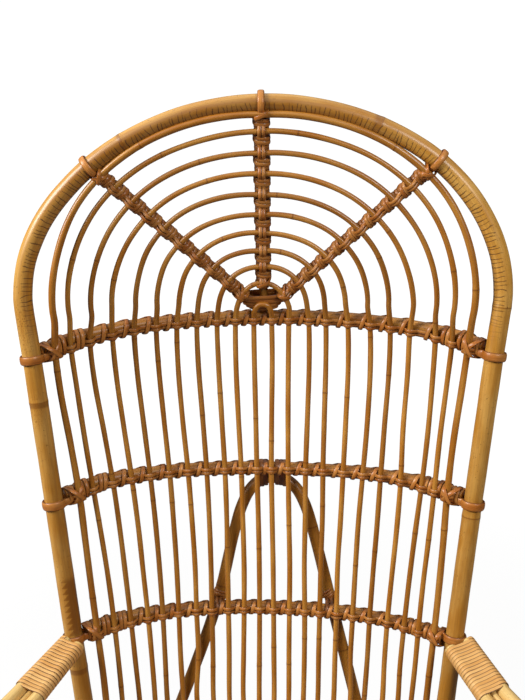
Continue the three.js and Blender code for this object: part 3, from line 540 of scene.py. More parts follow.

# %% [markdown]
# Steam and force bend the hoop, and its skin cracks across on the inner side of the bend. The
# cracks could be modelled, but hundreds of hair-thin cuts are better painted and dented by the
# finish. A one-dimensional Voronoi pattern gives lines at uneven steps along the pole. Where
# an old pole was knocked its skin flakes off in teeth or is pitted. A painted shade darkens
# the hoop's inner side. Each of these shows only where the piece's own marks ask for it.

# %% Cracks, leaf rings, scars and painted shade
def crack_group():
    tree, source, sink = new_group(
        "cross cracks", {"Per metre": 150.0, "Width": 0.15, "Centre": 0.2, "Reach": -0.3},
        ["Cracks", "Rings", "Chips", "Painted shade"])
    around, along = uv_parts(tree)
    turn = times(tree, maths(tree, "SUBTRACT", around, source["Centre"]), 2 * math.pi)
    facing = maths(tree, "COSINE", turn)

    # cracks: thin lines that wander a little and end unevenly at the sides
    wander = noise(tree, xyz(tree, times(tree, facing, 0.5), times(tree, along, 45.0)))
    spot = maths(tree, "ADD", times(tree, along, source["Per metre"]), times(tree, wander, 2.2))
    lines = add_node(tree, "ShaderNodeTexVoronoi", {"W": spot, "Scale": 1.0},
                     voronoi_dimensions="1D", feature="DISTANCE_TO_EDGE").outputs["Distance"]
    thin = ramp(tree, lines, 0.0, source["Width"], 1.0, 0.0)
    uneven = add_node(tree, "ShaderNodeTexNoise", {"W": times(tree, along, 75.0)},
                      noise_dimensions="1D").outputs["Fac"]
    edge = maths(tree, "ADD", source["Reach"], times(tree, uneven, 1.1))
    held = ramp(tree, maths(tree, "SUBTRACT", facing, edge), -0.05, 0.12)
    cracks = times(tree, times(tree, thin, held), attribute(tree, "bent"))

    # flakes: saw teeth along one side; pits: dots beside them
    tooth = maths(tree, "FRACT", times(tree, along, 105.0))
    bite = ramp(tree, tooth, 0.0, 1.0, 0.24, 0.355, smooth=False)
    turned = maths(tree, "FRACT", maths(tree, "ADD", around, 0.3))
    flake = ramp(tree, maths(tree, "SUBTRACT", turned, bite), 0.0, 0.012)
    flake = times(tree, flake, ramp(tree, turned, 0.6, 0.7, 1.0, 0.0))
    dots = noise(tree, xyz(tree, times(tree, turned, 110.0), times(tree, along, 300.0)), 0.0)
    pits = times(tree, ramp(tree, dots, 0.6, 0.68), ramp(tree, turned, 0.34, 0.44, 1.0, 0.0))
    flakes = times(tree, flake, attribute(tree, "chips"))
    chips = maths(tree, "MAXIMUM", flakes, times(tree, pits, attribute(tree, "pitted")))

    # painted shade: the inner side darkened, as far as the piece's shade mark asks
    painted_shade = times(tree, attribute(tree, "shade"), ramp(tree, facing, -0.85, 0.2, 0.2, 1.0))
    tree.links.new(cracks, sink["Cracks"])
    tree.links.new(attribute(tree, "ring"), sink["Rings"])
    tree.links.new(chips, sink["Chips"])
    tree.links.new(painted_shade, sink["Painted shade"])
    return tree


CRACKS = crack_group()
print("node group", CRACKS.name, "with", len(CRACKS.nodes), "nodes")

# %% A varnished rattan finish
# the last of these colours is painted shade for the edges of split strands
SPECK, CRACK, EDGE_SHADE = colour(70, 38, 12), colour(70, 36, 10), colour(70, 30, 8)


def finish_of(name, light, body, dark, radius, fineness=1.0, gloss=0.36, coat=0.22, dent=0.25,
              specks=0.5, tint_share=0.35, edge_shade=0.0, edge_shade_reach=0.55):
    """Three tones of one rattan; a painted shade darkens the two edges of a split strand."""
    finish = bpy.data.materials.new(name)
    finish.use_nodes = True
    tree = finish.node_tree
    shader = tree.nodes["Principled BSDF"]
    light, body, dark = colour(*light), colour(*body), colour(*dark)
    grain = add_node(tree, "ShaderNodeGroup", node_tree=FIBRES)
    grain.inputs["Radius"].default_value = radius * MM
    grain.inputs["Fineness"].default_value = fineness
    grain = grain.outputs
    scars_and_shade = add_node(tree, "ShaderNodeGroup", node_tree=CRACKS).outputs
    tone = mixed(tree, grain["Clouds"], body, light)
    for mask, share, shade in (
        (attribute(tree, "tint"), tint_share, dark),
        (maths(tree, "SUBTRACT", 1.0, grain["Fibres"]), 0.4, dark),
        (grain["Specks"], specks, SPECK),
        (scars_and_shade["Rings"], 0.8, dark),
        # painted shade on the hoop's inner side
        (scars_and_shade["Painted shade"], 1.0, dark),
        (scars_and_shade["Chips"], 0.7, dark),
        (scars_and_shade["Cracks"], 0.94, CRACK),
    ):
        tone = mixed(tree, times(tree, mask, share), tone, shade)
    # painted shade along the strand's two edges, where it meets its neighbours
    if edge_shade:
        side = maths(tree, "ABSOLUTE", maths(tree, "COSINE", times(tree, uv_parts(tree)[0], 2 * math.pi)))
        tone = mixed(tree, ramp(tree, side, 0.1, edge_shade_reach, edge_shade, 0.0), tone, EDGE_SHADE)
    tree.links.new(tone, shader.inputs["Base Color"])
    worn = ramp(tree, grain["Height"], 0.3, 0.7, gloss + 0.1, gloss - 0.06, smooth=False)
    worn = maths(tree, "ADD", worn, times(tree, scars_and_shade["Cracks"], 0.25))
    tree.links.new(worn, shader.inputs["Roughness"])
    shader.inputs["Coat Weight"].default_value = coat
    shader.inputs["Coat Roughness"].default_value = 0.28
    shader.inputs["IOR"].default_value = 1.5
    shader.inputs["Specular IOR Level"].default_value = 0.26
    height = maths(tree, "SUBTRACT", grain["Height"], times(tree, scars_and_shade["Cracks"], 1.2))
    bump = add_node(tree, "ShaderNodeBump", {"Height": height, "Strength": dent, "Distance": 0.0006})
    tree.links.new(bump.outputs[0], shader.inputs["Normal"])
    print("finish", name)
    return finish


# %% [markdown]
# ## The chair's own finishes
# Seven finishes come from the one recipe: the golden poles, the browner brace behind them, the
# thin canes with a finer grain, the rods, the shiny lashing strands with painted shade along
# each edge, and the arms with their straw-coloured strip, which has painted shade along its
# edges too. Only tones, grain, gloss and the painted edge shade differ.

# %% Mix the finishes
GOLDEN = finish_of("golden pole", (234, 182, 94), (208, 146, 52), (118, 66, 12), HOOP_R,
                   coat=0.45, dent=0.1, tint_share=0.0, specks=0.75)
UMBER = finish_of("brown brace", (200, 140, 54), (166, 106, 30), (96, 50, 10), 9,
                  coat=0.4, tint_share=0.2)
HONEY = finish_of("honey cane", (206, 146, 62), (176, 110, 30), (104, 54, 10), CANE_R,
                  fineness=1.6, gloss=0.32, coat=0.45, dent=0.14, specks=0.35, tint_share=0.5)
ROD = finish_of("rail rattan", (204, 144, 64), (170, 106, 36), (100, 50, 12), RAIL_R, fineness=1.2)
STRAND = finish_of("lashing strand", (214, 148, 74), (178, 104, 36), (88, 36, 8), 3,
                   fineness=2.0, gloss=0.38, coat=0.25, dent=0.12, specks=0.2, tint_share=0.6, edge_shade=0.75)
STRAW = finish_of("straw binding", (238, 192, 124), (222, 166, 94), (150, 92, 38), 4, fineness=1.6,
                  gloss=0.5, coat=0.1, specks=0.2, tint_share=0.25, edge_shade=0.95, edge_shade_reach=0.7)
PALE = finish_of("pale arm pole", (238, 208, 140), (222, 182, 106), (160, 108, 44), 12,
                 coat=0.2, specks=0.4, tint_share=0.2)

# %% [markdown]
# ## Poles
# Every pole is a rolled-up grid with an edge loop every few millimetres, and closer ones where a
# leaf ring crosses it. Rattan swells a little at each leaf ring, so the loops there are made
# wider. The cut ends are eased, as sandpaper leaves them.

# %% A round pole
# where loops lie by a leaf ring: dense close to it, and on before it, where a scar may lie
RING_STEPS = np.array((-9, -7.5, -6, -4.5, -3, -2, -1, -0.5, 0, 0.5, 1, 2, 3.5, 6))


def resampled(line, at):
    s = lengths(line[:, :3])
    return np.stack([np.interp(at, s, column) for column in line.T], -1)


# loops near a cut end and how small the first two are; how wide a ring's swelling and line are
SANDED, SAND_SIZES = (0, 0.36, 1.2), (0.86, 0.95)
SWELL_REACH, RING_REACH = 4, 0.9
# loops nearer than this are left out; how long the slow waves in a pole's thickness are
LOOP_GAP, WAVE_LENGTHS = 0.25, (310.0, 137.0, 71.0)


def pole(name, stations, radius, start_up, rings=(), sides=18, step=5, own_marks=None,
         swell=0.03, uneven=0.012, tint=None):
    """A pole through its stations. A fourth column scales its radius; own_marks adds scars and painted
    shade.
    """
    line = smooth_line(stations, 2)
    total = lengths(line[:, :3])[-1]
    spots = [*SANDED, *(total - at for at in SANDED)]
    spots += list(np.arange(step, total - step / 2, step))
    for ring in rings:
        spots += list(ring + RING_STEPS)
    at = np.unique(np.clip(spots, 0, total))
    at = at[np.concatenate([[True], np.diff(at) > LOOP_GAP])]
    at[-1] = total
    line = resampled(line, at)
    sizes = np.ones(len(at)) if line.shape[1] == 3 else line[:, 3].copy()
    waves = np.zeros(len(at))
    for wave in WAVE_LENGTHS:
        waves += np.sin(at / wave * 2 * math.pi + luck.uniform(0, 6.28)) * uneven / 2
    sizes *= 1 + waves
    marks = np.zeros(len(at))
    for ring in rings:
        sizes *= 1 + swell * np.exp(-((at - ring) / SWELL_REACH) ** 2)
        marks = np.maximum(marks, np.exp(-((at - ring) / RING_REACH) ** 2))
    for i, size in enumerate(SAND_SIZES):
        sizes[[i, -1 - i]] *= size
    marks = own_marks(at - total / 2, marks) if own_marks else {"ring": marks}
    ups = carried(line[:, :3], start_up)
    return roll_up(name, line[:, :3], ups, round_profile(radius, sides), sizes, marks, tint)


def level(piece):
    """Saw a foot off level with the floor."""
    for point in piece.data.vertices:
        point.co.z = max(point.co.z, 0)


def leaf_rings(total, gap_low, gap_high):
    """Uneven places for the leaf rings along a pole."""
    places, at = [], luck.uniform(gap_low * 0.3, gap_high)
    while at < total - 20:
        places.append(at)
        at += luck.uniform(gap_low, gap_high)
    return places


# %% [markdown]
# ## The hoop
# One thick pole is the back's whole outline: it rises from one foot, arches over and runs down
# to the other. It is a little thinner at the crown, where it was bent hardest, and that bent
# part carries the cross cracks. A few short tables, by the distance from the crown, say where
# the skin is cracked, scarred, flaked and pitted, and how much painted shade darkens its inner side.

# %% Bend the hoop
# how far the hoop strays inward, by the distance along it from the crown
HOOP_STRAY = np.array([
    (-1800, 0), (-1200, -1), (-960, -2), (-780, -0.6), (-540, 0), (-420, 0.5), (-360, 2.7),
    (-300, 5.3), (-240, 5.7), (-180, 5), (-120, 3.5), (-60, 2.3), (0, 1), (100, 0.5), (180, -0.5),
    (240, -1.8), (300, -1.6), (420, -0.8), (480, 1), (600, 1.6), (700, 2.7), (840, 1.4), (960, 1),
    (1200, 0.5), (1800, 0),
])
half = hoop_half()
hoop_stations = np.vstack([mirrored(half[::-1]), half[1:]])
around_hoop = lengths(hoop_stations) - lengths(hoop_stations)[-1] / 2
inward = np.cross(headings(hoop_stations), FORWARD)
hoop_stations = hoop_stations + inward * np.interp(around_hoop, *HOOP_STRAY.T)[:, None]
hoop_length = lengths(smooth_line(hoop_stations, 2))[-1]
# how thin the crown is, and over how many stations to each side the pole thickens again
HOOP_THIN, HOOP_THIN_STATIONS = 0.93, 30
HOOP_RINGS = (-1180, -1042, -624, -200, 163, 488, 800, 1150)
# leaf rings that keep a brown scar beside them, and how long it is
HOOP_SCARS = [(-1042, 9), (-624, 9), (-200, 5), (163, 12)]
# how much painted shade darkens the inner side, and where the skin is cracked, flaked and pitted
HOOP_SHADE = np.array([
    (-1100, 0.55), (-950, 0.5), (-700, 0.42), (-560, 0.3), (-440, 0.35), (-330, 0.6), (-200, 0.75),
    (0, 0.72), (130, 0.55), (210, 0.3), (280, 0.05), (420, 0.05), (520, 0.25), (700, 0.32), (1000, 0.38),
])
HOOP_BENT = np.array([(-540, 0), (-480, 1), (480, 1), (540, 0)])
HOOP_CHIPS = np.array([(-990, 0), (-982, 1), (-900, 1), (-892, 0)])
HOOP_PITS = np.array([
    (-665, 0), (-650, 0.8), (-628, 0.8), (-600, 0), (-560, 0), (-545, 1), (-490, 1), (-470, 0),
])


def hoop_marks(place, rings):
    """Where the hoop is bent and cracked, where its skin flaked off in teeth, and how much painted shade
    darkens it.
    """
    for ring, reach in HOOP_SCARS:
        scar = np.where(place < ring, np.clip((reach - ring + place) / 2.5, 0, 1), 0)
        rings = np.maximum(rings, 0.75 * scar)
    tables = {"bent": HOOP_BENT, "chips": HOOP_CHIPS, "pitted": HOOP_PITS, "shade": HOOP_SHADE}
    return {"ring": rings} | {mark: np.interp(place, *table.T) for mark, table in tables.items()}


from_crown = np.abs(np.arange(len(hoop_stations)) - (len(hoop_stations) - 1) / 2)
hoop_sizes = HOOP_THIN + (1 - HOOP_THIN) * np.clip(from_crown / HOOP_THIN_STATIONS, 0, 1)
hoop_rings = [hoop_length / 2 + place for place in HOOP_RINGS]
hoop = pole("hoop", np.column_stack([hoop_stations, hoop_sizes]), HOOP_R, FORWARD, hoop_rings,
            sides=28, step=4, own_marks=hoop_marks, tint=0.3)
level(hoop)
fit(hoop, GOLDEN, "pole", "back_hoop")

# %% [markdown]
# ## The arch canes
# Eleven canes run as one piece each: up one side, round in an arch and down the other side, in
# front of every rail, and on as the seat. Hand-bent cane is never quite straight, so each leg
# wanders a millimetre or two between its ties.

# %% Where the canes run
ARM_R, ARM_CORE_R = 12, 4.5
FRONT_LEG_HALF, FRONT_FOOT_HALF = 352, 340
SEAT_RING_R, SEAT_FRONT_Y, SEAT_FRONT_Z = 11, -385.2, 405
SEAT_PITCH = math.radians(6.5)
SEAT_CORNER, SEAT_BEND, SEAT_SPREAD, CANE_OVERHANG = 60, 24, 0.93, 12
LAY, GAP = 0.6, 0.3
ARM_CLUSTER = ARM_R + GAP + ARM_CORE_R
RING_HALF = FRONT_LEG_HALF - ARM_CLUSTER - ARM_R - 2 * LAY - SEAT_RING_R
# straight down through the seat, square to its slope
BELOW = -vec(0, math.sin(SEAT_PITCH), math.cos(SEAT_PITCH))


def seat_z(y):
    return SEAT_FRONT_Z - (y - SEAT_FRONT_Y) * math.tan(SEAT_PITCH)


# %% How each cane strays from its ideal line
# how far each leg bows to the right at two places between one rail and the next
LEG_BOWS = {
    -1: [
        [-0.2, 0, 0.6, 0.6, -0.6, -0.8],
        [-1.1, -1.2, 0.4, 1, -1.5, -2.6],
        [-0.3, -0.6, 0.4, 0, -0.3, -1.3],
        [-1, -0.7, 0.7, 0.9, -0.5, -2.1],
        [-1.6, -1.9, 1, 1.4, 0, -4.8],
        [-0.9, -1, 0.5, 0.8, -0.9, 0],
        [-0.9, -0.8, 0.9, 0.8, -1.2, -2],
        [-1.3, -1.2, 0.5, -0.3, 0.6, 1.3],
        [-1.3, -0.6, 0.2, -0.2, 0.7, 2.2],
        [0.3, -0.4, 0.9, 0.8, -0.1, 0],
        [-1.2, -0.3, -0.8, -0.7, 0.8, 0],
    ],
    1: [
        [1.1, 0.6, 0.2, 0.2, 0.4, 1.3],
        [-0.1, -0.3, 0.4, 0.9, -0.2, 0.5],
        [1, 0.9, 0, -1.1, 0.8, 0.9],
        [0.4, 0.1, 0.7, 0, 0.2, 1],
        [1.1, 0.7, -0.7, -1.6, 0.4, 1.1],
        [1.8, 2, -1.6, -0.8, 0, 2.6],
        [0.9, 0.1, 0.2, -0.1, 0.7, 0],
        [0.8, -1.4, 0.5, 0.2, 0.8, 2.7],
        [0.5, 1.1, -1.1, -0.7, 0.3, 2.3],
        [-0.8, -1.3, 0.2, -0.5, 0.7, 0],
        [-0.1, -1.1, 1.4, 0.9, -0.4, 0],
    ],
}
# how far each arch swells away from a true ellipse, from its crown down to its spring
ARCH_SWELL = {
    -1: [
        [0, 1.4, 2.6, 2.8, 1.4, 0],
        [0.2, 0.3, 0.3, 0.1, -0.4, -0.8],
        [0.2, 2.1, 3.6, 3.1, 0.6, -1.5],
        [-1, 2.7, 5.9, 5.3, 1.2, -1],
        [0.3, 3.1, 5.2, 3.3, -2.5, -5.4],
        [-1.4, 2.5, 6.4, 5.9, -0.1, -4.3],
        [-1, 4, 7.4, 4.5, -2.8, -6.2],
        [-0.1, 1.6, 3.2, 0.8, -2.8, -5.4],
        [-0.5, 1.6, 3, 0.7, -4.4, -8],
        [0, -1, 1.2, 1.3, -3.3, -9],
        [2.6, 4.2, 5.2, 3.6, -4.8, -12.4],
    ],
    1: [
        [0, 1.4, 2.6, 2.8, 1.4, 0],
        [0, 1.3, 2.6, 3.5, 3.2, 2.2],
        [0.5, 2.3, 3.1, 1.8, -1.6, -4.7],
        [-0.4, 2.6, 4.8, 3.7, -1.4, -6],
        [-0.8, 1, 3.5, 2, -3.2, -6.8],
        [-0.7, 2, 4, 1.4, -4.2, -8.5],
        [-1, 1.6, 4, 2.4, -3.2, -7.4],
        [-0.1, 2.5, 4.5, 3.1, 0.1, -0.8],
        [0.1, 3.4, 5.1, 2.4, -1.9, -6.9],
        [0.6, 3.2, 7, 6.6, -0.5, -8.5],
        [2.6, 7.6, 12.1, 12.3, 4.4, -7],
    ],
}
# how far each arch lies to the right of the middle
ARCH_STRAY = [-1, -2.3, 0.3, -1.1, -1.1, 0.7, -1.1, -2.9, 0.1, -2.8, -2.4]
# the last of each arch is left free, so that it runs smoothly into its first tie
FREE_REACH, FREE_SHARE = 34, 0.3
print("canes:", CANES, "bows given for:", sum(len(rows) for rows in LEG_BOWS.values()), "legs")


# %% The line of one cane
def arch_side(k, side):
    """One half of an arch, from its crown to its spring, with its own swelling."""
    turns = np.linspace(90, 0, 25)
    places, outs = [], []
    for turn in np.radians(turns):
        place, out, lift = arch_place(k, turn)
        spot = place + out * lift
        places.append(vec(side * spot[0] + ARCH_STRAY[k], spot[1], spot[2]))
        outs.append(out * (side, 1, 1))
    places = np.array(places)
    away = unit(np.cross(headings(places), np.array(outs)))
    away = -away if away[12][2] < 0 else away
    knots = np.column_stack([np.linspace(90, 0, 6), ARCH_SWELL[side][k], np.zeros(6)])
    swell = smooth_line(knots, 1.0)
    return places + away * np.interp(turns[::-1], swell[::-1, 0], swell[::-1, 1])[::-1][:, None]


def cane_leg(k, side):
    """From the crown of the arch down to the seat's front edge."""
    radius = cane_radius(k)
    arch = list(arch_side(k, side))
    tied = []
    for row in range(len(ROWS)):
        at, out = crossing(row, k, side)
        tied.append(at + out * (RAIL_R + LAY + radius))
    free = min(FREE_REACH, FREE_SHARE * np.linalg.norm(arch[0] - arch[-1]))
    arch = [at for at in arch if np.linalg.norm(at - tied[0]) > free]
    base = smooth_line(arch + tied, 2)
    spots = [int(np.argmin(np.linalg.norm(base - at, axis=1))) for at in tied]
    stations = arch
    for i, at in enumerate(tied[:-1]):
        stations.append(at)
        for part in (0, 1):
            share = (part + 1) / 3
            passing = base[int(round(blend(spots[i], spots[i + 1], share)))]
            stations.append(passing + vec(LEG_BOWS[side][k][2 * i + part], 0, 0))
    rear = tied[-1]
    stations.append(rear)
    down = unit(tied[-1] - tied[-2])
    drop = (rear[2] - seat_z(rear[1])) / (-down[2] - down[1] * math.tan(SEAT_PITCH))
    corner = rear + down * drop + BELOW * (CANE_R - radius)
    front_y = SEAT_FRONT_Y - CANE_OVERHANG
    front = vec(side * LOW_SHARES[k] * RING_HALF * SEAT_SPREAD, front_y, seat_z(front_y))
    front = front + BELOW * (CANE_R - radius)
    ahead = unit(front - corner)
    stations += list(bezier(corner - down * SEAT_BEND, corner, corner + ahead * SEAT_BEND, 3))
    stations += [blend(stations[-1], front, 0.5), front]
    return np.array(stations)


# %% Lay the eleven canes
CANE_TINTS = [0.25, 0.1, 0.35, 0.6, 0.2, 0.5, 0.8, 0.15, 0.55, 0.3, 0.45]
cane_lines = {}
for k in range(CANES):
    line = np.vstack([cane_leg(k, -1)[::-1], cane_leg(k, 1)[1:]])
    cane_lines[k] = smooth_line(line, 3)
    total = lengths(cane_lines[k])[-1]
    cane = pole(f"cane_{k + 1:02d}", line, cane_radius(k), UP, leaf_rings(total, 170, 420),
                sides=12, step=5, swell=0.045, uneven=0.03, tint=CANE_TINTS[k])
    fit(cane, HONEY, "cane", f"arch_cane_{k + 1:02d}")

# %% [markdown]
# ## The rails
# Three rods bow backward behind the canes. Each end is shaved thin, bent round the post as a
# strap and brought back to the rod. A strap has another section and another finish than its
# rod, so the two are rolled up apart; the lashing hides where they meet.

# %% Rods and straps
STRAP_W, STRAP_T = 13.0, 4.0


def rail_frame(row, x):
    """The way out to the canes and the way up, square to the rod."""
    order = sorted((cane_x(row, k, side), k, side) for k in range(CANES) for side in (-1, 1))
    places = np.array([place for place, _, _ in order])
    outs = np.array([crossing(row, k, side)[1] for _, k, side in order])
    rod = unit(rail_axis(row, x + 1) - rail_axis(row, x - 1))
    out = square_to(np.stack([np.interp(x, places, outs[:, i]) for i in range(3)], -1), rod)
    return out, np.cross(out, rod)


# %% A strap round the hoop
hoop_line = smooth_line(hoop_stations, 2)
STRAP_TAIL, TAIL_STEPS = (14, 1.5), 5


def strap_round(name, near, toward, rod_radius, slip=0.0, width=STRAP_W, tint=None):
    """A shaved strap that leaves one side of a rod, goes round the hoop and comes back."""
    i = int(np.argmin(np.linalg.norm(hoop_line - near, axis=1)))
    axis = unit(hoop_line[i + 4] - hoop_line[i - 4])
    axis = axis if axis[2] > 0 or abs(axis[0]) > 0.9 else -axis
    at = hoop_line[i] + axis * slip
    to_rod = square_to(toward - at, axis)
    sideways = np.cross(axis, to_rod)
    round_radius = HOOP_R + 0.2 + STRAP_T * BELLY
    start = math.asin(min((rod_radius + 1.0) / round_radius, 0.9))
    angles = np.linspace(start, 2 * math.pi - start, 49)
    outward = np.cos(angles)[:, None] * to_rod + np.sin(angles)[:, None] * sideways
    line = at + outward * round_radius
    tails = np.linspace(*STRAP_TAIL, TAIL_STEPS)[:, None] * to_rod
    line = np.vstack([line[0] + tails, line, line[-1] + tails[::-1]])
    beside = np.repeat(sideways[None], TAIL_STEPS, 0)
    ups = np.vstack([beside, outward, -beside])
    widths = np.ones((len(line), 2))
    thinned = TAIL_STEPS + 1
    widths[:thinned, 1] = widths[-thinned:, 1][::-1] = np.linspace(0.7, 1, thinned)
    return roll_up(name, line, ups, strand_profile(width, STRAP_T, 16), widths, tint=tint)


# %% Bow the rods and bend their straps
# how far each strap has slipped along its post
STRAP_SLIP = [{-1: -4.5, 1: -2}, {-1: 0, 1: -2}, {-1: 0, 1: 0}]
ROD_SIDE_GAP = 1.2
RAIL_NAMES = ["upper", "middle", "lower"]
ROD_R, ROD_BACK = 9.0, 0.8
# where each rod lies above its plain bow, and how far its lashing hangs above or below its place
ROD_STRAY = [
    np.array([
        (-316, 2, -5), (-296, 4.2, -5), (-270, 5.6, -3.5), (-240, 5, -2), (-209, 5.4, -0.5),
        (-145, 4, 0.5), (-56, 3.2, 0), (0, 4.3, 0.3), (83, 5.4, 0.7), (176, 6.4, 1.5), (237, 7.4, 1),
        (290, 7.5, -2), (316, 4, -4),
    ]),
    np.array([
        (-294, 6, -1), (-267, 9, 1), (-244, 9, 3.6), (-219, 8, 3.2), (-160, 5.3, 2.5),
        (-104, 3.2, 1), (-48, 1.3, -0.8), (0, 0.8, -1), (77, -0.4, -1), (137, 1.5, -0.4),
        (194, 2.4, 0.5), (247, 4, -2.5), (294, 3, -4),
    ]),
    np.array([
        (-272, 5, -3), (-246, 5.6, -4), (-195, 4.8, -0.3), (-149, 3.5, 1), (-47, 1.1, 0), (27, -0.8, -2),
        (75, -1, -3.6), (126, -1.6, -4.6), (177, -4.3, -5), (227, -5.5, -8), (272, -5, -9),
    ]),
    np.array([(-260, 0, 0), (260, 0, 0)]),
]


def rod_lift(row, x):
    """How far a visible rod lies above its plain bow."""
    return np.interp(x, ROD_STRAY[row][:, 0], ROD_STRAY[row][:, 1])


def hang(row, x):
    """How far a rail's lashing lies above its usual place."""
    return np.interp(x, ROD_STRAY[row][:, 0], ROD_STRAY[row][:, 2])


def rod_line(row, x):
    """The visible rod: a little above or below the plain bow, as the hand that bent it left it."""
    out, up = rail_frame(row, x)
    return rail_axis(row, x) + up * rod_lift(row, x)[:, None] - out * ROD_BACK


for row, name in enumerate(RAIL_NAMES):
    reach = ROWS[row][1] - HOOP_R - ROD_SIDE_GAP
    rod = pole(f"{name}_rail", rod_line(row, np.linspace(-reach, reach, 31)), ROD_R, UP,
               leaf_rings(2 * reach, 150, 300), sides=18, tint=0.2 + 0.2 * row)
    fit(rod, ROD, "rail", f"{name}_back_rail")
    straps = []
    for side in (-1, 1):
        straps.append(strap_round(f"{name}_strap", post_at(row, side), rail_axis(row, side * reach),
                                  RAIL_R, STRAP_SLIP[row][side], tint=0.3 * luck.random()))
    fit(bundle(f"{name}_rail_straps", straps), STRAND, "rail")
seat_reach = ROWS[SEAT][1] - HOOP_R - ROD_SIDE_GAP
rear_rail = pole("rear_rail", rail_axis(SEAT, np.linspace(-seat_reach, seat_reach, 31)), RAIL_R, UP,
                 leaf_rings(2 * seat_reach, 150, 300), sides=16)
fit(rear_rail, ROD, "rail", "rear_seat_rail")

# %% [markdown]
# ## The spokes
# Three straight rods fan out from the hub over the upper rail to the hoop and end in the same
# kind of strap. Three copies of one rod would do, but their lengths differ, so each is rolled
# up between its own ends with the same two helpers.

# %% Spokes to the hoop
SPOKE_STARTS = {"left": 21, "centre": 2, "right": 21}
for name, rim in RIMS.items():
    along = unit(rim - HUB)
    reach = np.linalg.norm(rim - HUB) - HOOP_R - 0.6
    shares = np.linspace(SPOKE_STARTS[name], reach, 9)
    spoke = pole(f"{name}_rod", HUB + shares[:, None] * along, SPOKE_R, out_from(rim),
                 leaf_rings(reach, 130, 260), sides=16)
    fit(spoke, ROD, "rail", f"{name}_spoke")
    strap = strap_round(f"{name}_spoke_strap", rim, HUB, SPOKE_R, width=9.5, tint=0.0)
    fit(strap, STRAND, "rail")

# %% [markdown]
# ## Lashings
# Split strands tie every cane to its rod. Two runners lie side by side along the rod and ride
# over each cane; a third strand winds round the rod and pins the runners down beside each
# cane, and a few more lie under them on the rail's lower side. Each strand is a rolled-up grid
# with a domed section, so it catches the light as split cane does.

# %% A strand laid on a rod
STRAND_T, STRAND_W = 2.2, 5.8


def along_rail(row):
    """A rail as the lashings see it: its frame, the oval round rod and runners, and its canes."""
    def frame_at(x):
        return (rail_axis(row, x),) + rail_frame(row, x)

    def oval(x, c):
        lift = rod_lift(row, x)
        top, bottom = lift + ROD_R + 1.0, hang(row, x) - 9.6
        behind = np.clip(0.2 - c * 2, 0, 1)
        tall = blend((top - bottom) / 2, ROD_R + 1.0, behind)
        return ROD_R + 1.2, tall, blend((top + bottom) / 2, lift, behind)

    canes = sorted((cane_x(row, k, side), cane_radius(k)) for k in range(CANES) for side in (-1, 1))
    return frame_at, oval, canes


def along_line(start, end, out):
    """Places along a straight rod, by the distance from its start."""
    rod = unit(end - start)
    out = square_to(out, rod)

    def frame_at(x):
        x = np.asarray(x, float)[..., None]
        return start + x * rod, out + 0 * x, np.cross(out, rod) + 0 * x

    return frame_at


def round_rod(radius):
    def oval(x, c):
        return radius, radius, 0.0

    return oval


def laid(name, frame_at, oval, x, angle, width, over=0.0, tint=None):
    """A strand laid round a rod on an oval path; angle 0 is the front, and over stands it off there."""
    at, out, up = frame_at(x)
    c, s = np.cos(angle), np.sin(angle)
    deep, tall, centre = oval(x, c)
    front = soft(np.clip((c - 0.3) / 0.5, 0, 1))
    forward = np.sign(c) * np.abs(c) ** 0.8 * deep + over * front
    line = at + out * forward[:, None] + up * (s * tall + centre)[:, None]
    normal = unit(out * (c * tall)[:, None] + up * (s * deep)[:, None])
    fine = smooth_line(np.column_stack([line, normal]), 1.6)
    return roll_up(name, fine[:, :3], unit(fine[:, 3:]), strand_profile(width, STRAND_T),
                   eased(len(fine)), tint=tint)


def riding(x, canes, spread=5.5):
    """1 where a strand lies on a cane, easing to 0 where it is back on the rod."""
    share = np.zeros_like(x)
    for place, radius in canes:
        near = np.clip(np.abs(x - place) / (radius + spread), 0, 1)
        share = np.maximum(share, (0.5 + 0.5 * np.cos(math.pi * near)) ** 0.65)
    return share

# %% Runners over the canes
def runner(name, frame_at, canes, start, end, place, base, on_cane, lean, tint=None, width=STRAND_W):
    """A strand along a rod. Place is its height and base how far out it lies between the canes,
    each a number or a rule for x; on_cane is how far out it lies over them."""
    x = np.arange(start, end, 1.5)
    height = place(x) if callable(place) else place
    base = base(x) if callable(base) else base
    share = riding(x, canes)
    places, thick = [c[0] for c in canes] or [0.0], [2 * c[1] for c in canes] or [0.0]
    wave = np.interp(x, places, luck.normal(0, 0.3, len(places)))
    at, out, up = frame_at(x)
    forward = blend(base, on_cane + np.interp(x, places, thick), share)
    line = at + out * forward[:, None] + up * (height + wave)[:, None]
    tilt = lean * (1 - 0.8 * share)
    normal = np.cos(tilt)[:, None] * out + np.sin(tilt)[:, None] * up
    return roll_up(name, line, normal, strand_profile(width, STRAND_T), eased(len(x)), tint=tint)

# %% A tie that winds from cane to cane
def winding_tie(name, frame_at, oval, canes, turns, over=1.6, before=6.5, slant=10.5, tint=None, width=6.4):
    """Down the front beside each cane and up behind the rod to the next; turns says how often."""
    tops, falls = [], []
    for (low, low_r), (high, high_r), often in zip(canes[:-1], canes[1:], turns):
        room = (high - high_r - 1.5) - (low + low_r + 1.5)
        tops += list(high - before - np.arange(often)[::-1] * width)
        falls += [min(slant, max(room - often * width * 0.8, 1.5))] * often
    front, back = np.linspace(0.5, -0.5, 9), np.linspace(0, 1, 8)[1:-1]
    x, angle = [], []
    for i, (top, fall) in enumerate(zip(tops, falls)):
        x += list(top - fall * (0.5 - front))
        angle += list(math.pi * (front - 2 * i))
        if i + 1 < len(tops):
            x += list(blend(top - fall, tops[i + 1], soft(back)))
            angle += list(math.pi * (-0.5 - back - 2 * i))
    return laid(name, frame_at, oval, np.array(x), np.array(angle), width, over, tint)

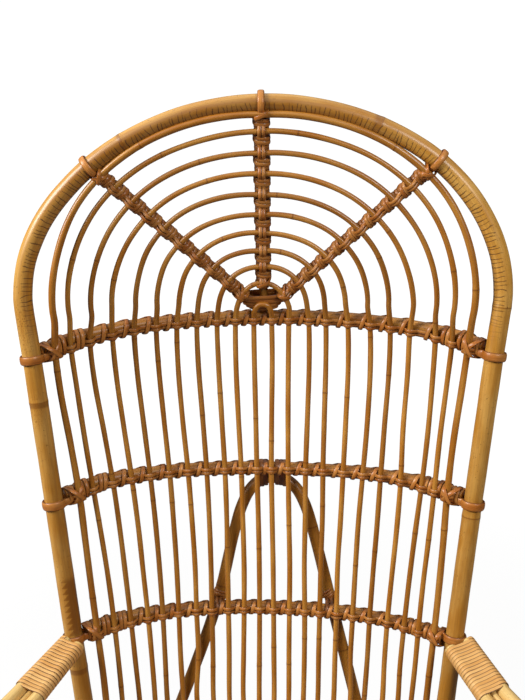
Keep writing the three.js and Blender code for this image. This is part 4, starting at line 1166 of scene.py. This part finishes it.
# %% Close wraps and crossed ties
def wrap(name, frame_at, oval, start, end, turns, width, first=0.0, over=0.0, tint=None):
    """A plain close wrap round a rod."""
    share = np.linspace(0, 1, int(14 * turns) + 1)
    x, angle = start + (end - start) * share, first - share * turns * 2 * math.pi
    return laid(name, frame_at, oval, x, angle, width, over, tint)


def cross_tie(name, frame_at, oval, middle, half, over, width):
    """A strand that slants over a cane from one side of the rod to the other and closes behind."""
    angle = np.radians(np.linspace(160, -160, 23))
    return laid(name, frame_at, oval, middle - half * np.sin(angle), angle, width, over, 0.1)

# %% Where the strands of a rail lie
RAIL_TURNS = [2, 2] + [1] * 17 + [2, 2]
END_WRAP_PITCH = 6
# what the strands under the runners follow, how far off it, how far out, and how wide they are
UNDER_STRANDS = ((hang, -5.6, 4.2, 7.5), (rod_lift, -8.0, 4.2, 9.5), (hang, -1.5, 6.0, 8.5))


def on_rod(row, height):
    """A runner's height on a rail, and how far out it lies to rest on the rod there."""
    def place(x):
        return height + hang(row, x)

    def base(x):
        inside = ROD_R ** 2 - (place(x) - rod_lift(row, x)) ** 2
        return np.maximum(np.sqrt(np.maximum(inside, 0)), 7.2) + 0.2

    return place, base


def follow(rule, row, height):
    """A height that keeps its distance from a rail's rod or from its lashing."""
    def place(x):
        return rule(row, x) + height

    return place


# %% Lash the three rails
for row, name in enumerate(RAIL_NAMES):
    frame_at, oval, canes = along_rail(row)
    low, high = canes[0][0], canes[-1][0]
    post = ROWS[row][1] - HOOP_R - 2
    strands = []
    # painted shade: the lower runner gets a darker tint than the upper one
    for height, lean, tint in ((2.4, -0.1, 0.15), (-3.3, -0.55, 0.45)):
        strands.append(runner(f"{name}_runner", frame_at, canes, low - 10, high + 10,
                              *on_rod(row, height), RAIL_R + LAY + 1.0, lean, tint=tint))
    # painted shade: the strands under the rod get a darker tint still
    for rule, height, out, width in UNDER_STRANDS:
        strands.append(runner(f"{name}_under", frame_at, [], -post, post, follow(rule, row, height),
                              out, 0, -0.95, tint=0.7, width=width))
    strands.append(winding_tie(f"{name}_tie", frame_at, oval, canes, RAIL_TURNS, tint=0.0))
    for side, edge in ((-1, low), (1, high)):
        turns = max(round((post - abs(edge)) / END_WRAP_PITCH), 2)
        strands.append(wrap(f"{name}_end_wrap", frame_at, oval, edge + side * 5, side * post, turns, 6.8,
                            first=math.pi / 2, over=1.2, tint=0.2))
        for hand in (-1, 1):
            # on the lower rail one of the two crossed ties is the shorter
            half, shift = (9, 2) if row < LOWER else (7 + 3 * hand, 4 - hand)
            strands.append(cross_tie(f"{name}_cross", frame_at, oval, edge + side * shift, half * hand,
                                     11.0 + hand, 6.6))
    fit(bundle(f"{name}_lashing", strands), STRAND, "lashing", f"{name}_rail_lashing")

# %% Tie the arches to the spokes
SPOKE_WRAP_PITCH = 6.4
for name, rim in RIMS.items():
    ray = unit(rim - HUB)
    frame_at = along_line(HUB, rim, out_from(rim))
    canes = []
    for k in range(1, CANES):
        arch = cane_lines[k][cane_lines[k][:, 2] > HUB[2]] - HUB
        near = arch[np.argmin(np.linalg.norm(np.cross(arch, ray), axis=1))]
        canes.append((float(np.dot(near, ray)), cane_radius(k)))
    first, last = canes[0][0] - 8, canes[-1][0] + 9
    reach = np.linalg.norm(rim - HUB) - HOOP_R - 5
    under = 9.4 if name == "centre" else 7.8
    over = round_rod(under + STRAND_T * 0.8)
    turns = round((reach - first + 4) / SPOKE_WRAP_PITCH)
    # painted shade: the base wrap under the runners and ties gets a dark tint
    strands = [wrap("base_wrap", frame_at, round_rod(under), first, reach, turns, 6.2, tint=0.75)]
    # painted shade: the lower runner gets a darker tint than the upper one
    for height, lean, tint in ((2.8, 0.3, 0.2), (-2.8, -0.3, 0.45)):
        strands.append(runner(f"{name}_runner", frame_at, canes, first, min(last, reach), height,
                              under + 1.4, SPOKE_R + ARCH_LAY + 1.0, lean, tint=tint, width=5.4))
    strands.append(winding_tie(f"{name}_tie", frame_at, over, canes, [2] * (len(canes) - 1), over=1.0,
                               before=8.0, slant=5.0, tint=0.35, width=5.8))
    crosses = [(1, 5)] if name == "centre" else [(-1, 6.5), (1, 6.5)]
    for middle, radius in (canes[0], canes[-1]):
        for hand, half in crosses:
            strands.append(cross_tie(f"{name}_cross", frame_at, over, middle, half * hand,
                                     2 * radius + hand * 0.8 - 1, 5.8))
    fit(bundle(f"{name}_arch_lashing", strands), STRAND, "lashing", f"{name}_spoke_lashing")

# %% [markdown]
# ## The hub
# Where the spokes meet, a few turns of strand hold them together in a lens: each turn passes in
# front of the three rods and returns behind them. The turns could be one long spiral, but laid
# one by one each can slope its own way, as they do on the real chair.

# %% Wind the hub
spoke_tilt = math.atan2(SIDE_RIM[2] - HUB[2], SIDE_RIM[0])
side_lean = (HUB[1] - SIDE_RIM[1]) / (SIDE_RIM[2] - HUB[2])
centre_lean = (HUB[1] - CROWN[1]) / (CROWN[2] - HUB[2])
# how high each turn lies above the hub, and how much it slopes
HUB_TURNS = ((11, 0.5), (15.5, 2), (20, 2.5), (24.5, -1), (28, -4), (31, 3))
turns_of_hub = []
angles = np.linspace(0, 2 * math.pi, 73)
c, s = np.cos(angles), np.sin(angles)
for i, (height, slope) in enumerate(HUB_TURNS):
    wide = height / math.tan(spoke_tilt) + SPOKE_R / math.sin(spoke_tilt) + 1.6
    deep = SPOKE_R + 1.6 + 0.9 * (i % 2) + height * (side_lean - centre_lean) / 2
    flat_x = np.sign(c) * np.abs(c) ** 0.8 * wide
    flat_y = -np.sign(s) * np.abs(s) ** 0.7 * deep
    sag = -1.6 * np.clip(s, 0, 1) * (1 - (flat_x / wide) ** 2) + slope * c
    centre = HUB + vec(0, -height * (side_lean + centre_lean) / 2, height)
    line = centre + np.stack([flat_x, flat_y, sag], -1)
    ups = np.stack([c * 0.9, -s, 0 * c], -1)
    turns_of_hub.append(roll_up("hub_turn", line, ups, strand_profile(6.4, 2.4), tint=0.15 + 0.12 * i))
fit(bundle("hub", turns_of_hub), STRAND, "lashing", "hub_binding")

# %% [markdown]
# ## The rear brace
# A second bent pole stands behind the back as a narrow arch: its crown hangs under the middle
# rail, and its legs run down behind the lower rail to the seat. It leans a little to the right.

# %% Bend the brace
BRACE_R, BRACE_HALF, BRACE_FOOT_HALF = 9, 89, 161.8
# how far it leans aside in full, and the heights where it starts to lean and where it is done
BRACE_ASIDE, ASIDE_FROM, ASIDE_DONE = 14, 400, 550
# its crown as shares of the way out and of the way down to the lower rail
BRACE_CURVE = ((0, 0), (0.2, 0.012), (0.4, 0.085), (0.56, 0.22), (0.69, 0.41))
# how far a rail's lashing reaches behind the rail's middle line
LASH_BACK = RAIL_R + LAY + 2 + GAP
brace_crown = rail_axis(MIDDLE, 0) + vec(0, 9, -24)
brace_lower = rail_axis(LOWER, BRACE_HALF) - crossing(LOWER, 3, 1)[1] * (LASH_BACK + BRACE_R)
brace_half = []
for across, down in BRACE_CURVE:
    place = blend(brace_crown, brace_lower, down)
    brace_half.append(vec(BRACE_HALF * across, place[1], place[2]))
brace_half += [brace_lower, rail_axis(SEAT, BRACE_FOOT_HALF) + vec(0, 9.4, -30)]
brace_half = np.array(brace_half)
brace_line = np.vstack([mirrored(brace_half[::-1]), brace_half[1:]])
lean = (brace_line[:, 2] - ASIDE_FROM) / (ASIDE_DONE - ASIDE_FROM)
brace_line[:, 0] += BRACE_ASIDE * np.clip(lean, 0, 1)
brace = pole("brace", brace_line, BRACE_R, FORWARD, leaf_rings(1000, 180, 330), sides=20, tint=0.75)
fit(brace, UMBER, "pole", "rear_brace")

# %% [markdown]
# Where the brace passes a rail, the two are wound together with plain turns that show as dark
# bands between the canes; their tint is pushed past the strands' usual range to paint the shade
# that falls on them there. Just above the lower rail a short collar closes the winding on each
# leg. Such a turn goes round two rods at once: in every direction it lies on the one that
# reaches further out.

# %% Wind the brace to its rails
CROWN_ABOVE, CROWN_TURNS, LEG_TURNS = 700, (-4.5, 2, 19.5, 26, 31.5), (-6.5, 0, 6.5)
fine_brace = smooth_line(brace_line, 2)


def round_both(name, first, first_r, second, second_r, rod, width, tint):
    """A closed turn of strand round two rods, on the tightest path that holds both."""
    across = square_to(FORWARD, rod)
    up = np.cross(across, rod)
    stations = []
    for angle in np.linspace(0, 2 * math.pi, 41):
        away = math.cos(angle) * across + math.sin(angle) * up
        holds = np.dot(first, away) + first_r > np.dot(second, away) + second_r
        at, radius = (first, first_r) if holds else (second, second_r)
        stations.append([*(at + away * (radius + STRAND_T * 0.42)), *away])
    fine = smooth_line(stations, 2)
    return roll_up(name, fine[:, :3], unit(fine[:, 3:]), strand_profile(width, STRAND_T), tint=tint)


def rod_at(row, x):
    """A place on a visible rod and the way the rod runs there."""
    return rod_line(row, np.array([float(x)]))[0], unit(rail_axis(row, x + 1) - rail_axis(row, x - 1))


def brace_leg_at(x, row):
    """Where the leg on the side of x passes behind a rail."""
    leg = fine_brace[np.sign(fine_brace[:, 0] - BRACE_ASIDE) == np.sign(x - BRACE_ASIDE)]
    return leg[np.argmin(np.abs(leg[:, 2] - rail_axis(row, x)[2]) + np.abs(leg[:, 0] - x) * 0.1)]


bands = []
crown_part = fine_brace[fine_brace[:, 2] >= CROWN_ABOVE]
for i, x in enumerate(CROWN_TURNS):
    at, rod = rod_at(MIDDLE, x)
    under = crown_part[np.argmin(np.abs(crown_part[:, 0] - x))]
    # painted shade: tints above 1 darken the crown's turns past any strand's own tone
    tint = 1.1 + 0.2 * (i % 2)
    bands.append(round_both("crown_turn", at, ROD_R + 1.5, under, BRACE_R + 0.6, rod, 7.2, tint))
for side in (-1, 1):
    middle = side * BRACE_HALF + BRACE_ASIDE
    leg = brace_leg_at(middle, LOWER)
    rod = rod_at(LOWER, middle)[1]
    for step in LEG_TURNS:
        at, behind = rod_at(LOWER, middle + step)[0], leg + rod * step
        # painted shade: a tint above 1 darkens the leg's turns
        bands.append(round_both("leg_turn", at, ROD_R + 1.2, behind, BRACE_R + 0.4, rod, 5.6, 1.1))
    upward = unit(brace_crown - leg)
    bands.append(wrap("leg_collar", along_line(leg + upward * 9, leg + upward * 19, FORWARD),
                      round_rod(BRACE_R + 1.2), 0, 10, 2.4, 5.2, tint=0.5))
fit(bundle("brace_bindings", bands), STRAND, "lashing")

# %% [markdown]
# ## The arms
# Each arm is two thick poles with a thin one between them. They leave the post side by side
# under a close binding, spread a little, sweep out and forward and bend down to be the front
# leg. One smooth line is drawn for the cluster, and each pole keeps its own distance from it,
# so the three stay together round every bend.

# %% Where the arms run
ARM_SPLAY = math.radians(25)
ARM_Z, ARM_CREST, ARM_REACH, ARM_BOW_OUT, ARM_NOSE = 567, 24, 440, 95, 58
ARM_BIND_LENGTH, ARM_BIND_TURNS, ARM_FLARE = 112, 17, 95
FRONT_LEG_RAKE, FRONT_BIND_TURNS, FRONT_BIND_DROP = 12, 8, 60
post = post_at(LOWER)
arm_heading = vec(math.sin(ARM_SPLAY), -math.cos(ARM_SPLAY), 0)
arm_rear = vec(post[0], post[1], ARM_Z) + arm_heading * 17.4
bound_end = arm_rear + arm_heading * ARM_BIND_LENGTH
leg_top = vec(FRONT_LEG_HALF, post[1] - ARM_REACH, SEAT_FRONT_Z - SEAT_RING_R)
front_foot = vec(FRONT_FOOT_HALF, leg_top[1] + FRONT_LEG_RAKE, 0)
crest = ARM_Z + ARM_CREST
nose = vec(leg_top[0] + ARM_NOSE / 3, leg_top[1], crest)
arm_out = vec(post[0] + ARM_BOW_OUT, (arm_rear[1] + nose[1] * 2) / 3, crest)
arm_stations = np.array([
    arm_rear,
    blend(arm_rear, bound_end, 0.5),
    bound_end,
    vec(blend(bound_end[0], arm_out[0], 0.7), (bound_end[1] + arm_out[1]) / 2, (bound_end[2] + crest) / 2),
    arm_out,
    nose + vec(0, ARM_NOSE * 1.4, 0),
    nose + vec(-ARM_NOSE / 9, ARM_NOSE / 4, -ARM_NOSE / 3),
    nose + vec(-ARM_NOSE / 5, 0, -ARM_NOSE * 1.4),
    leg_top,
    blend(leg_top, front_foot, 0.5),
    front_foot,
])
arm_line = smooth_line(arm_stations, 4)
arm_s = lengths(arm_line)
arm_lateral = carried(arm_line, vec(math.cos(ARM_SPLAY), math.sin(ARM_SPLAY), 0))
SKIVED_R, BOUND_R = ARM_R * 0.75, ARM_R * 0.8125
opening = np.array([0, ARM_BIND_LENGTH, ARM_BIND_LENGTH + ARM_FLARE, arm_s[-1]])
arm_radius = np.interp(arm_s, opening, [SKIVED_R, BOUND_R, ARM_R, ARM_R])

# %% Each arm's own line
# the two arms were bent by hand: how far each strays inward and upward, and how wide it starts
ARM_STRAY = {
    -1: {"inward": (7, 7.5, 4, 0), "rise": (6, 3, 1, 0), "spacing": (10.5, 14)},
    1: {"inward": (4, 16, 13, 0), "rise": (2, 1, 0, 0), "spacing": (15, 14.5)},
}
ARM_ROLL = np.radians((6, 10, 4, 0))
# where along the arm these values hold
ARM_MARKS = (0, ARM_BIND_LENGTH, 230, 420)


def arm_of(side):
    """One arm's own line, the way out and up across it, and how far apart its poles lie."""
    stray = ARM_STRAY[side]
    kinds = (stray["inward"], stray["rise"], ARM_ROLL)
    inward, rise, roll = (np.interp(arm_s, ARM_MARKS, values) for values in kinds)
    line = arm_line * (side, 1, 1) + np.stack([-side * inward, 0 * inward, rise], -1)
    out = arm_lateral * (side, 1, 1)
    up = unit(np.cross(headings(line), out)) * -side
    rolled = out * np.cos(roll)[:, None] - up * np.sin(roll)[:, None]
    normal = up * np.cos(roll)[:, None] + out * np.sin(roll)[:, None]
    spacing = np.interp(arm_s, opening, [*stray["spacing"], ARM_CLUSTER, ARM_CLUSTER])
    return line, rolled, normal, spacing


print("arm length:", round(float(arm_s[-1])))

# %% Lay the arm poles
# the thin pole starts under the binding, at this share of its length
CORE_START = 0.78
for name, side in (("left", -1), ("right", 1)):
    line, outward, _, spacing = arm_of(side)
    for piece, sign in (("outer", 1), ("inner", -1)):
        stations = np.column_stack([line + outward * (sign * spacing)[:, None], arm_radius / ARM_R])
        stations[-1, 2] = 0
        arm_pole = pole(f"{name}_arm_{piece}", stations[::2], ARM_R, outward[0],
                        leaf_rings(arm_s[-1], 200, 360), sides=24, tint=0.2 + 0.2 * (sign > 0))
        level(arm_pole)
        fit(arm_pole, PALE, "pole", f"{name}_arm_{piece}_pole")
    free = arm_s > ARM_BIND_LENGTH * CORE_START
    core_radius = np.minimum(spacing - arm_radius - GAP, ARM_CORE_R)
    core = np.column_stack([line, core_radius / ARM_CORE_R])[free]
    core_pole = pole(f"{name}_arm_core", core[::2], ARM_CORE_R, outward[0],
                     leaf_rings(arm_s[-1], 200, 360), sides=14, tint=0.9)
    level(core_pole)
    fit(core_pole, PALE, "pole", f"{name}_arm_core_pole")

# %% [markdown]
# A binding of pale cane strip holds the rear of each arm together. It is one strip wound about
# seventeen times round all three poles, so its path is a stretched ring: half rounds at the
# sides, nearly straight above and below.

# %% Wind a flat strip round a cluster
STRIP_T, STRIP_STEPS, STRIP_SAG = 1.7, 24, 0.9


def binding(name, cluster_at, turns, width, tint):
    """A strip wound round two poles; cluster_at gives their middle, the ways across, and sizes."""
    stations = []
    for i in range(turns * STRIP_STEPS + 1):
        centre, lateral, normal, spacing, radius = cluster_at(i / (turns * STRIP_STEPS))
        turn = (i / STRIP_STEPS) % 1 * 4
        quarter, part = int(turn), turn % 1
        hand = 1 if quarter < 2 else -1
        outer = radius + STRIP_T * 0.45
        # round one side, over the top, round the other side, back below
        if quarter % 2 == 0:
            angle = -math.pi / 2 + math.pi * part
            across = hand * (spacing + outer * math.cos(angle))
            height = hand * outer * math.sin(angle)
        else:
            across = hand * spacing * (1 - 2 * part)
            height = hand * (outer - STRIP_SAG * math.sin(math.pi * part))
        round_x = across - np.sign(across) * min(spacing, abs(across))
        away = unit(lateral * round_x / radius + normal * height / radius)
        stations.append([*(centre + lateral * across + normal * height), *away])
    fine = smooth_line(stations, 2.2)
    return roll_up(name, fine[:, :3], unit(fine[:, 3:]), strand_profile(width, STRIP_T, 12),
                   eased(len(fine)), tint=tint)


# %% Bind the arms
bind_pitch = (ARM_BIND_LENGTH - 1.2) / (ARM_BIND_TURNS + 1)
leg_axis = unit(front_foot - leg_top)


def rear_cluster_of(side):
    """The cluster under the rear binding, by the share of the binding that is wound."""
    parts = arm_of(side)

    def cluster_at(share):
        along = 0.6 + bind_pitch / 2 + share * ARM_BIND_TURNS * bind_pitch
        at, out, up = [vec(*(np.interp(along, arm_s, column) for column in part.T)) for part in parts[:3]]
        return at, out, up, np.interp(along, arm_s, parts[3]), np.interp(along, arm_s, arm_radius)

    return cluster_at


def front_cluster_of(side):
    flip = np.array((side, 1, 1))
    lateral = square_to(arm_lateral[-1], leg_axis) * flip
    normal = np.cross(leg_axis * flip, lateral) * side

    def cluster_at(share):
        centre = leg_top + leg_axis * (FRONT_BIND_DROP + share * FRONT_BIND_TURNS * bind_pitch)
        return centre * flip, lateral, normal, ARM_CLUSTER, ARM_R

    return cluster_at


for name, side in (("left", -1), ("right", 1)):
    rear = binding(f"{name}_rear_winding", rear_cluster_of(side), ARM_BIND_TURNS, bind_pitch, 0.3)
    fit(rear, STRAW, "arm_binding", f"{name}_arm_rear_binding")
    front = binding(f"{name}_front_winding", front_cluster_of(side), FRONT_BIND_TURNS, bind_pitch, 0.5)
    fit(front, STRAW, "arm_binding", f"{name}_arm_front_binding")

# %% [markdown]
# ## The seat
# The canes run on as the seat, over two cross rails to the front of a U-shaped ring. Below the
# photograph nothing shows how they are held, so the same runners and ties are used as above.

# %% Bend the ring and lay the cross rails
ring_drop = CANE_R + GAP + SEAT_RING_R
rail_drop = CANE_R + GAP + RAIL_R


def in_seat(x, y, drop):
    return vec(x, y, seat_z(y)) + BELOW * drop


rear_row = post_at(SEAT) + post_down * LEG_BEND / 3
# the solids are eight-sided, and their corners reach this much further than their flats
corner_share = 1 / math.cos(math.pi / 8)
rear_y = rear_row[1] - HOOP_R * corner_share / math.cos(RECLINE) - SEAT_RING_R / 2
ring_rear = in_seat(rear_row[0], rear_y, ring_drop)
ring_slope = (RING_HALF - ring_rear[0]) / (ring_rear[1] - leg_top[1])


def ring_x(y):
    return ring_rear[0] + (ring_rear[1] - y) * ring_slope


corner_y = SEAT_FRONT_Y + SEAT_CORNER
ring_half = [ring_rear] + [in_seat(ring_x(y), y, ring_drop) for y in (-100, leg_top[1], -250)]
ring_half += list(bezier(
    in_seat(ring_x(corner_y), corner_y, ring_drop),
    in_seat(ring_x(SEAT_FRONT_Y), SEAT_FRONT_Y, ring_drop),
    in_seat(ring_x(SEAT_FRONT_Y) - SEAT_CORNER, SEAT_FRONT_Y, ring_drop), 6))
ring_half = np.array(sorted(ring_half, key=lambda p: (-p[1], -p[0])))
ring_line = np.vstack([ring_half, mirrored(ring_half[::-1])])
ring = pole("seat_loop", ring_line, SEAT_RING_R, UP, leaf_rings(1800, 200, 360), sides=20, tint=0.4)
fit(ring, GOLDEN, "pole", "seat_ring")
cross_rows = []
for name, share in (("front", 0.36), ("rear", 0.68)):
    y = blend(SEAT_FRONT_Y, ring_rear[1], share)
    reach = ring_x(y) - SEAT_RING_R * corner_share - GAP - RAIL_R * ring_slope
    ends = np.array([in_seat(x, y, rail_drop) for x in np.linspace(-reach, reach, 9)])
    rail = pole(f"cross_rail_{name}", ends, RAIL_R, UP, leaf_rings(2 * reach, 150, 300), sides=16)
    fit(rail, ROD, "rail", f"seat_cross_rail_{name}")
    cross_rows.append((name, y))
print("cross rails at y:", [round(float(y)) for _, y in cross_rows])

# %% Tie the seat
# how near the seat's plane a cane counts as lying on it, and where the ring's front part starts
ON_SEAT, RING_FRONT_FROM = 30, -200


def seat_ties(name, frame_at, oval, canes, base, on_cane, leans):
    strands = [
        runner("seat_runner", frame_at, canes, canes[0][0] - 9, canes[-1][0] + 9, height, base,
               on_cane, lean, tint=0.2)
        for height, lean in zip((2.9, -2.9), leans)
    ]
    turns = [1] * (len(canes) - 1)
    strands.append(winding_tie("seat_tie", frame_at, oval, canes, turns, tint=0.1))
    fit(bundle(name, strands), STRAND, "lashing")


def seat_lashing(name, place_y, drop, rod_radius):
    """Tie the canes where they cross a rail of the seat; place_y gives the rail's y at an x."""
    def frame_at(x):
        y = place_y(x)
        at = np.stack([x, y + BELOW[1] * drop, seat_z(y) + BELOW[2] * drop], -1)
        rod = headings(at)
        out = square_to(np.broadcast_to(-BELOW, at.shape), rod)
        return at, out, np.cross(out, rod)

    canes = []
    for line in cane_lines.values():
        for side in (-1, 1):
            in_plane = np.abs(line[:, 2] - seat_z(line[:, 1])) < ON_SEAT
            leg = line[(np.sign(line[:, 0]) == side) & in_plane]
            i = int(np.argmin(np.abs(leg[:, 1] - place_y(leg[:, 0]))))
            canes.append((float(leg[i, 0]), CANE_R))
    seat_ties(name, frame_at, round_rod(rod_radius + 1.2), sorted(canes), rod_radius + 0.4,
              rod_radius + GAP + 1.0, (0.15, -0.15))


def ring_front_y(x):
    return np.interp(x, front_part[:, 0], front_part[:, 1])


def straight_at(y):
    def place_y(x):
        return y + 0 * x

    return place_y


front_part = ring_line[ring_line[:, 1] < RING_FRONT_FROM]
front_part = front_part[np.argsort(front_part[:, 0])]
seat_lashing("ring_seat_ties", ring_front_y, ring_drop, SEAT_RING_R)
for name, y in cross_rows:
    seat_lashing(f"{name}_seat_ties", straight_at(y), rail_drop, RAIL_R)
frame_at, oval, canes = along_rail(SEAT)
seat_ties("seat_rail_ties", frame_at, oval, canes, ROD_R, RAIL_R + LAY + 1.0, (0.1, -0.3))

# %% [markdown]
# ## The stretchers
# Four plain rods keep the legs apart, 150 mm above the floor. Each butts on two legs and is
# held there by a short collar of strand. They differ only in their ends, so one function makes
# them all.

# %% Stretchers between the legs
STRETCHER_R, STRETCHER_Z, COLLAR = 9, 150, (3, 30)
front_at = blend(front_foot, leg_top, STRETCHER_Z / leg_top[2]) - arm_lateral[-1] * ARM_CLUSTER
rear_at = blend(rear_foot, knee_end, STRETCHER_Z / knee_end[2])


def stretcher(name, start, start_r, end, end_r):
    along = unit(end - start)
    ends = np.linspace(start + along * (start_r + 0.6), end - along * (end_r + 0.6), 9)
    rod = pole(f"{name}_tie_rod", ends, STRETCHER_R, UP, leaf_rings(500, 180, 300), sides=18)
    fit(rod, GOLDEN, "pole", f"{name}_stretcher")
    frame_at = along_line(ends[0], ends[-1], UP)
    reach = np.linalg.norm(ends[-1] - ends[0])
    collars = [
        wrap("collar", frame_at, round_rod(STRETCHER_R + 0.6), first, last, 5, 5.6, tint=0.4)
        for first, last in (COLLAR, [reach - at for at in COLLAR])
    ]
    fit(bundle(f"{name}_stretcher_collars", collars), STRAND, "lashing")


stretcher("front", mirrored(front_at), ARM_R, front_at, ARM_R)
stretcher("rear", mirrored(rear_at), HOOP_R, rear_at, HOOP_R)
stretcher("left_side", mirrored(rear_at), HOOP_R, mirrored(front_at), ARM_R)
stretcher("right_side", rear_at, HOOP_R, front_at, ARM_R)

# %% [markdown]
# ## Floor and light
# The photograph has a plain white ground. The floor shows white to the camera but keeps a soft
# shadow of the chair, and the lamps stay at a plain level so that the rattan keeps its colour.
# A soft sky fills. It is brightest overhead and toward the left, so that the top of every bend
# picks up a pale sheen and its underside falls into brown. A lamp high on the left does most of
# the lighting, and a weak one on the right keeps the shadow side open.

# %% Floor
bpy.ops.object.select_all(action="DESELECT")
bpy.ops.mesh.primitive_plane_add(size=60)
floor = bpy.context.object
floor.name = "floor"
pale = bpy.data.materials.new("pale floor")
pale.use_nodes = True
tree = pale.node_tree
tree.nodes.clear()
plain = add_node(tree, "ShaderNodeBsdfDiffuse", {"Color": (0.2, 0.2, 0.2, 1)})
# far from the chair the lamps fade, so the floor's own glow makes up for it there
GLOW_NEAR, GLOW_FAR = (0.9, 1.78), (2.4, 2.04)
place = add_node(tree, "ShaderNodeNewGeometry").outputs["Position"]
away = add_node(tree, "ShaderNodeVectorMath", {0: place}, operation="LENGTH").outputs["Value"]
glow = ramp(tree, away, GLOW_NEAR[0], GLOW_FAR[0], GLOW_NEAR[1], GLOW_FAR[1])
shine = add_node(tree, "ShaderNodeEmission", {"Color": (1, 1, 1, 1), "Strength": glow})
seen = times(tree, add_node(tree, "ShaderNodeLightPath").outputs["Is Camera Ray"], 0.5)
both = add_node(tree, "ShaderNodeMixShader", {0: seen, 1: plain.outputs[0], 2: shine.outputs[0]})
add_node(tree, "ShaderNodeOutputMaterial", {"Surface": both.outputs[0]})
floor.data.materials.append(pale)

# %% Sky and lamps
world = bpy.data.worlds.new("studio")
bpy.context.scene.world = world
world.use_nodes = True
tree = world.node_tree
tree.nodes.clear()
rays = add_node(tree, "ShaderNodeLightPath")
seen = maths(tree, "MAXIMUM", rays.outputs["Is Camera Ray"], rays.outputs["Is Transmission Ray"])
direction = add_node(tree, "ShaderNodeTexCoord").outputs["Generated"]
toward = add_node(tree, "ShaderNodeSeparateXYZ", {0: direction}).outputs
overhead = ramp(tree, toward["Z"], 0.2, 0.85, 0.02, 1.0)
leftward = ramp(tree, toward["X"], -0.8, 0.9, 1.0, 0.5)
sheen = ramp(tree, rays.outputs["Is Glossy Ray"], 0.0, 1.0, 0.5, 1.9, smooth=False)
strength = times(tree, times(tree, overhead, leftward), sheen)
sky = add_node(tree, "ShaderNodeBackground", {"Color": (1, 1, 1, 1), "Strength": strength})
white = add_node(tree, "ShaderNodeBackground", {"Color": (1, 1, 1, 1), "Strength": 1.0})
both = add_node(tree, "ShaderNodeMixShader", {0: seen, 1: sky.outputs[0], 2: white.outputs[0]})
add_node(tree, "ShaderNodeOutputWorld", {"Surface": both.outputs[0]})


def lamp(name, place, target, size, power, tone):
    light = bpy.data.lights.new(name, "AREA")
    light.shape = "DISK"
    light.size = size
    light.energy = power
    light.color = tone
    holder = bpy.data.objects.new(name, light)
    bpy.context.scene.collection.objects.link(holder)
    holder.location = place
    holder.rotation_euler = Vector(vec(*target) - vec(*place)).to_track_quat("-Z", "Y").to_euler()
    print("lamp", name)


lamp("key", (-2.5, -0.35, 2.7), (0, 0.15, 0.95), 1.5, 128, (1, 0.99, 0.96))
lamp("window", (1.5, -1.3, 2.8), (0.15, 0.2, 1.0), 0.9, 38, (1, 0.99, 0.97))
